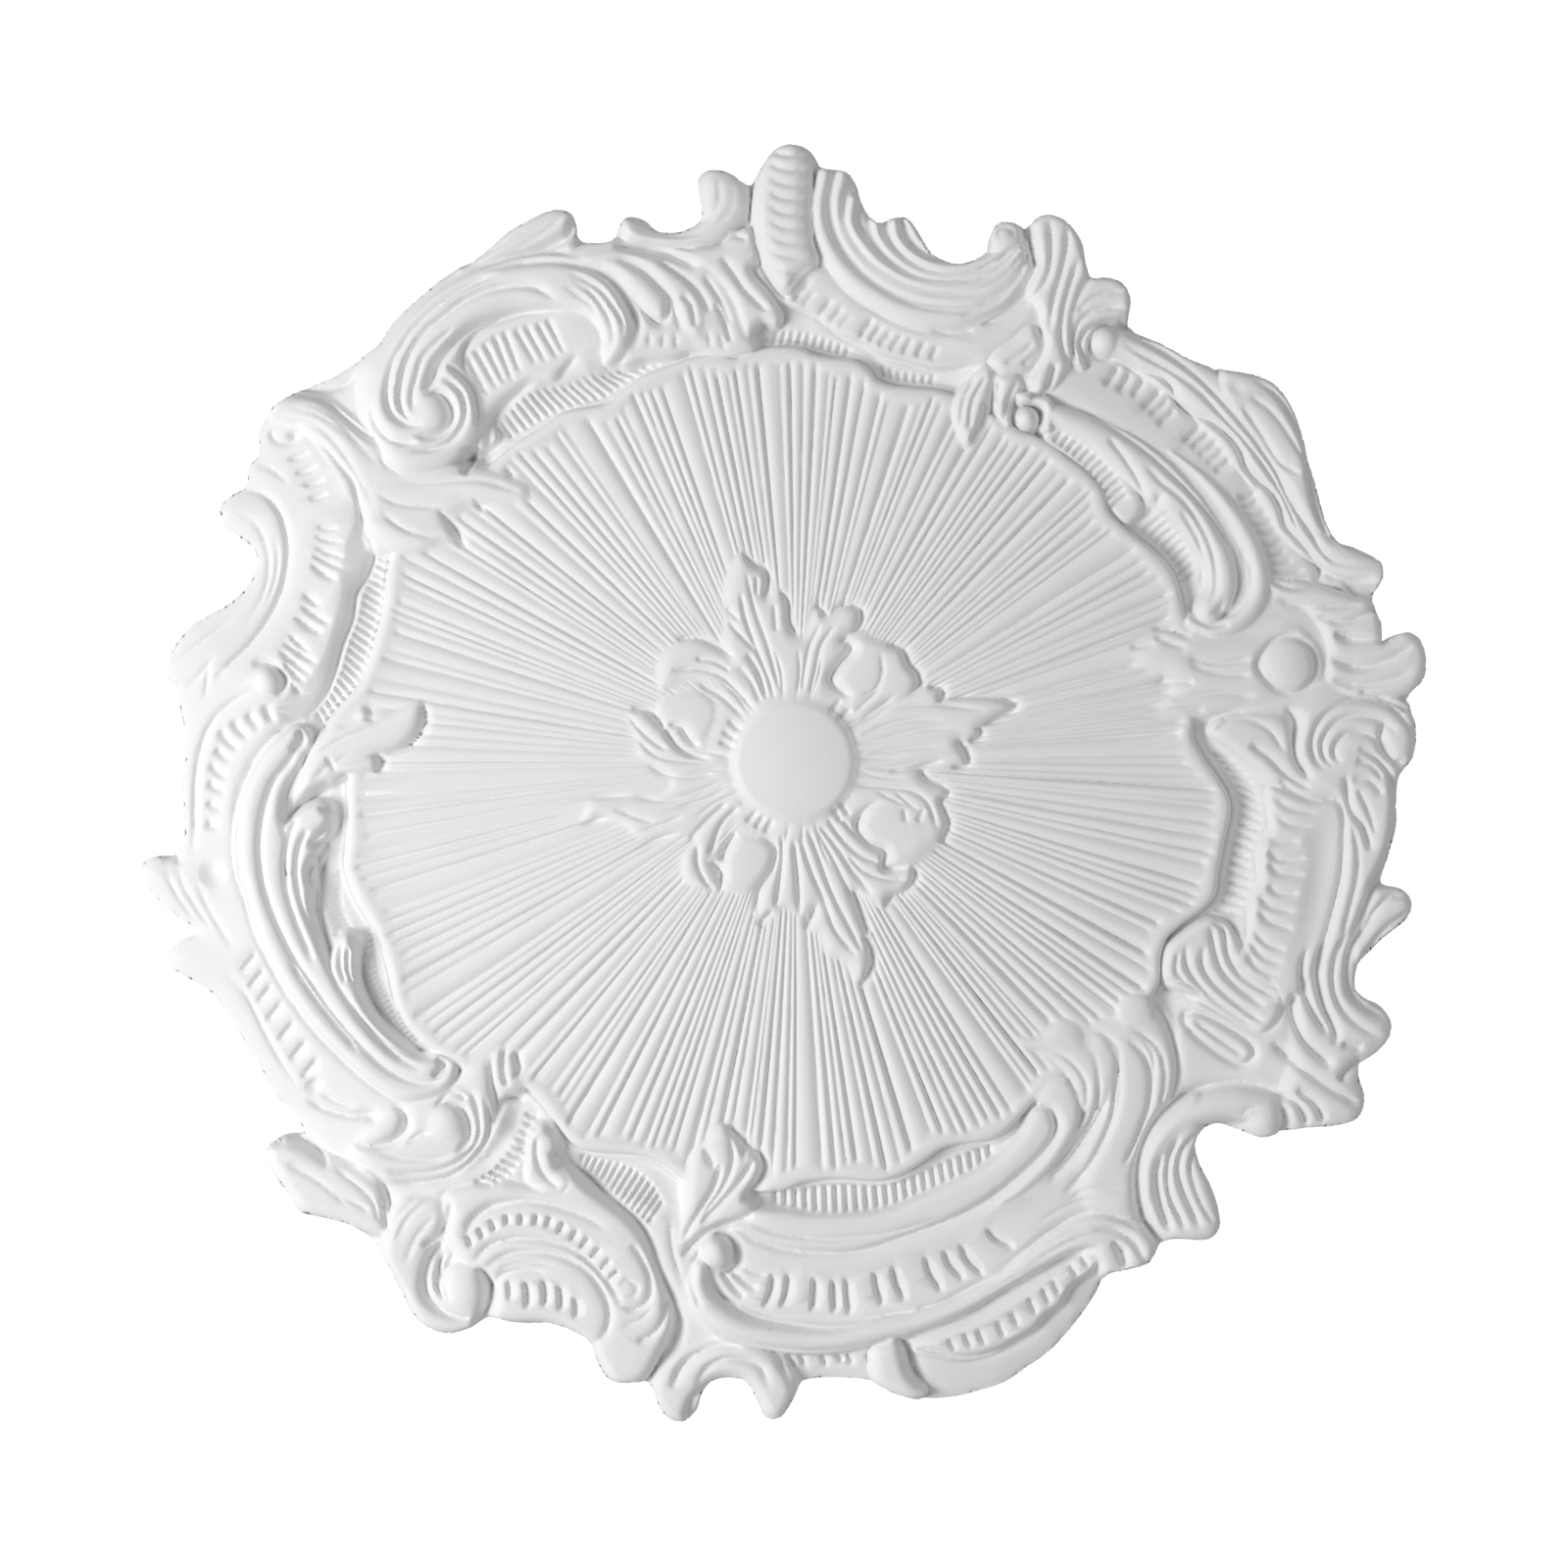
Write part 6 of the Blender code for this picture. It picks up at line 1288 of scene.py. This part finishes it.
def move_to_outline(clay, x, y, near):
    """Pulls the chosen places along the shortest way onto the outline."""
    slope_y, slope_x = np.gradient(clay.deep, clay.pitch)
    for _ in range(3):
        deep = sample(clay, clay.deep, x[near], y[near])
        gx = sample(clay, slope_x, x[near], y[near])
        gy = sample(clay, slope_y, x[near], y[near])
        length = np.maximum(np.hypot(gx, gy), 0.5)
        x[near] -= deep * gx / length**2
        y[near] -= deep * gy / length**2


def relief_sheet(part):
    """Corners and four-sided faces of the front, cut off along the outline, in metres."""
    clay, heights = model(PITCH)
    angle = np.linspace(-math.pi, math.pi, SPOKES, endpoint=False)
    radius = ring_radii(angle)
    x = radius * np.cos(angle)
    y = radius * np.sin(angle)
    deep = sample(clay, clay.deep, x, y)
    inside = deep > EDGE_SNAP
    ring, spoke = np.meshgrid(np.arange(radius.shape[0] - 1), np.arange(SPOKES), indexing="ij")
    following = (spoke + 1) % SPOKES
    quads = np.stack((ring * SPOKES + spoke, ring * SPOKES + following,
                      (ring + 1) * SPOKES + following, (ring + 1) * SPOKES + spoke), axis=2).reshape(-1, 4)
    kept = quads[inside.reshape(-1)[quads].any(axis=1)]
    used = np.zeros(x.size, bool)
    used[kept.reshape(-1)] = True
    edge = used.reshape(x.shape) & ~inside
    move_to_outline(clay, x, y, edge)
    # a place on the outline reads its height a little way in
    slope_y, slope_x = np.gradient(clay.deep, clay.pitch)
    inward = np.where(edge, 0.4, 0.0)
    z = -sample(clay, heights, x + inward * sample(clay, slope_x, x, y),
                y + inward * sample(clay, slope_y, x, y))
    number = np.cumsum(used) - 1
    corners = np.stack((x, y, z), axis=2).reshape(-1, 3)[used] * part
    return corners, number[kept]


def sheet_mesh(name, corners, quads):
    """A mesh of four-sided faces with its middle hole closed."""
    mesh = bpy.data.meshes.new(name)
    middle = np.array([corners[:SPOKES].mean(axis=0)])
    first = np.arange(SPOKES)
    fan = np.stack((first * 0 + len(corners), (first + 1) % SPOKES, first), axis=1)
    loops = np.concatenate((quads.reshape(-1), fan.reshape(-1))).astype(np.int32)
    sizes = np.concatenate((np.full(len(quads), 4), np.full(len(fan), 3)))
    starts = np.concatenate(([0], np.cumsum(sizes)[:-1])).astype(np.int32)
    mesh.vertices.add(len(corners) + 1)
    mesh.vertices.foreach_set("co", np.concatenate((corners, middle)).astype(np.float32).ravel())
    mesh.loops.add(len(loops))
    mesh.loops.foreach_set("vertex_index", loops)
    mesh.polygons.add(len(sizes))
    mesh.polygons.foreach_set("loop_start", starts)
    mesh.update(calc_edges=True)
    mesh.validate()
    return mesh


def thin_out(piece, triangles):
    """Leaves the triangles where the relief needs them."""
    piece.data.calc_loop_triangles()
    thinning = piece.modifiers.new("thinning", "DECIMATE")
    thinning.ratio = triangles / len(piece.data.loop_triangles)
    thinned = bpy.data.meshes.new_from_object(piece.evaluated_get(bpy.context.evaluated_depsgraph_get()))
    piece.modifiers.clear()
    piece.data = thinned


def close_back(mesh):
    """Carries the edge of the sheet up to the ceiling and closes the flat back."""
    form = bmesh.new()
    form.from_mesh(mesh)
    rim = [edge for edge in form.edges if edge.is_boundary]
    for share in (0.5, 0.0):
        grown = bmesh.ops.extrude_edge_only(form, edges=rim)["geom"]
        for corner in grown:
            if isinstance(corner, bmesh.types.BMVert):
                corner.co.z *= share
        rim = [edge for edge in grown if isinstance(edge, bmesh.types.BMEdge) and edge.is_boundary]
    bmesh.ops.contextual_create(form, geom=rim)
    bmesh.ops.recalc_face_normals(form, faces=form.faces)
    form.to_mesh(mesh)
    form.free()


def white_primer():
    """Matt off-white primer, a little uneven in tone, with the fine grain of a casting."""
    material = bpy.data.materials.new("white_primer_fine")
    material.use_nodes = True
    nodes = material.node_tree.nodes
    links = material.node_tree.links
    shader = nodes["Principled BSDF"]
    shader.inputs["Roughness"].default_value = 0.72
    shader.inputs["Specular IOR Level"].default_value = 0.3
    place = nodes.new("ShaderNodeTexCoord")
    cloud = nodes.new("ShaderNodeTexNoise")
    cloud.inputs["Scale"].default_value = 9.0
    cloud.inputs["Detail"].default_value = 3.0
    tone = nodes.new("ShaderNodeValToRGB")
    tone.color_ramp.elements[0].position = 0.3
    tone.color_ramp.elements[0].color = (0.835, 0.835, 0.835, 1.0)
    tone.color_ramp.elements[1].position = 0.7
    tone.color_ramp.elements[1].color = (0.870, 0.870, 0.868, 1.0)
    grain = nodes.new("ShaderNodeTexNoise")
    grain.inputs["Scale"].default_value = 420.0
    grain.inputs["Detail"].default_value = 2.0
    bump = nodes.new("ShaderNodeBump")
    bump.inputs["Strength"].default_value = 0.12
    bump.inputs["Distance"].default_value = 0.0006
    links.new(place.outputs["Object"], cloud.inputs["Vector"])
    links.new(place.outputs["Object"], grain.inputs["Vector"])
    links.new(cloud.outputs["Fac"], tone.inputs["Fac"])
    links.new(tone.outputs["Color"], shader.inputs["Base Color"])
    links.new(grain.outputs["Fac"], bump.inputs["Height"])
    links.new(bump.outputs["Normal"], shader.inputs["Normal"])
    return material


def make_rose(solid_low, solid_high):
    part = (solid_high[0] - solid_low[0]) / DRAWN_WIDTH
    mesh = sheet_mesh("ceiling_rose_relief", *relief_sheet(part))
    rose = bpy.data.objects.new("ceiling_rose_relief", mesh)
    bpy.context.scene.collection.objects.link(rose)
    thin_out(rose, RELIEF_TRIANGLES)
    close_back(rose.data)
    rose.data.materials.append(white_primer())
    rose.data.shade_smooth()
    rose.data.set_sharp_from_angle(angle=math.radians(62))
    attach(rose, "root")
    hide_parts("ceiling_rose")
    return rose


def make_floor():
    bpy.ops.mesh.primitive_plane_add(size=FLOOR_SIZE, location=(0.0, 0.0, -CEILING_HEIGHT))
    floor = bpy.context.object
    floor.name = "floor"
    material = bpy.data.materials.new("pale_floor")
    material.use_nodes = True
    shader = material.node_tree.nodes["Principled BSDF"]
    shader.inputs["Base Color"].default_value = (0.86, 0.86, 0.86, 1.0)
    shader.inputs["Roughness"].default_value = 0.9
    floor.data.materials.append(material)


def make_light(name, location, size, power):
    """A soft lamp aimed at the rose."""
    lamp = bpy.data.lights.new(name, "AREA")
    lamp.shape = "DISK"
    lamp.size = size
    lamp.energy = power
    light = bpy.data.objects.new(name, lamp)
    bpy.context.scene.collection.objects.link(light)
    light.location = location
    light.rotation_euler = (-Vector(location)).to_track_quat("-Z", "Y").to_euler()
    light.visible_camera = False
    return light


def make_world():
    """White surroundings, brighter where they are seen than where they light the casting."""
    world = bpy.data.worlds.new("white_room")
    bpy.context.scene.world = world
    world.use_nodes = True
    nodes = world.node_tree.nodes
    links = world.node_tree.links
    nodes.clear()
    seen = nodes.new("ShaderNodeBackground")
    seen.inputs["Strength"].default_value = 1.05
    seen.inputs["Color"].default_value = (1.0, 1.0, 1.0, 1.0)
    glow = nodes.new("ShaderNodeBackground")
    glow.inputs["Strength"].default_value = AMBIENT
    glow.inputs["Color"].default_value = (1.0, 1.0, 1.0, 1.0)
    ray = nodes.new("ShaderNodeLightPath")
    mix = nodes.new("ShaderNodeMixShader")
    output = nodes.new("ShaderNodeOutputWorld")
    links.new(ray.outputs["Is Camera Ray"], mix.inputs["Fac"])
    links.new(glow.outputs["Background"], mix.inputs[1])
    links.new(seen.outputs["Background"], mix.inputs[2])
    links.new(mix.outputs["Shader"], output.inputs["Surface"])


def make_camera(part):
    """Looks straight up at the rose, with its foot at the bottom of the picture."""
    centre_x = (IMAGE_SIZE / 2 - AXIS_PIXEL[0]) * PIXEL * part
    centre_y = (IMAGE_SIZE / 2 - AXIS_PIXEL[1]) * PIXEL * part
    lens = bpy.data.cameras.new("camera")
    lens.lens = LENS
    lens.sensor_width = SENSOR
    camera = bpy.data.objects.new("camera", lens)
    bpy.context.scene.collection.objects.link(camera)
    distance = IMAGE_SIZE * PIXEL * part * LENS / SENSOR
    camera.location = (centre_x, centre_y, -distance - RELIEF_LEVEL * part)
    camera.rotation_euler = (math.pi, 0.0, 0.0)
    bpy.context.scene.camera = camera


def dress():
    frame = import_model()
    solid_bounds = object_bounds()
    low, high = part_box("ceiling_rose")
    part = (high[0] - low[0]) / DRAWN_WIDTH
    make_rose(low, high)
    make_floor()
    make_world()
    make_light("key", KEY_PLACE, KEY_SIZE, KEY_POWER)
    make_camera(part)
    bpy.context.scene.view_settings.view_transform = "Standard"
    return solid_bounds


dress()
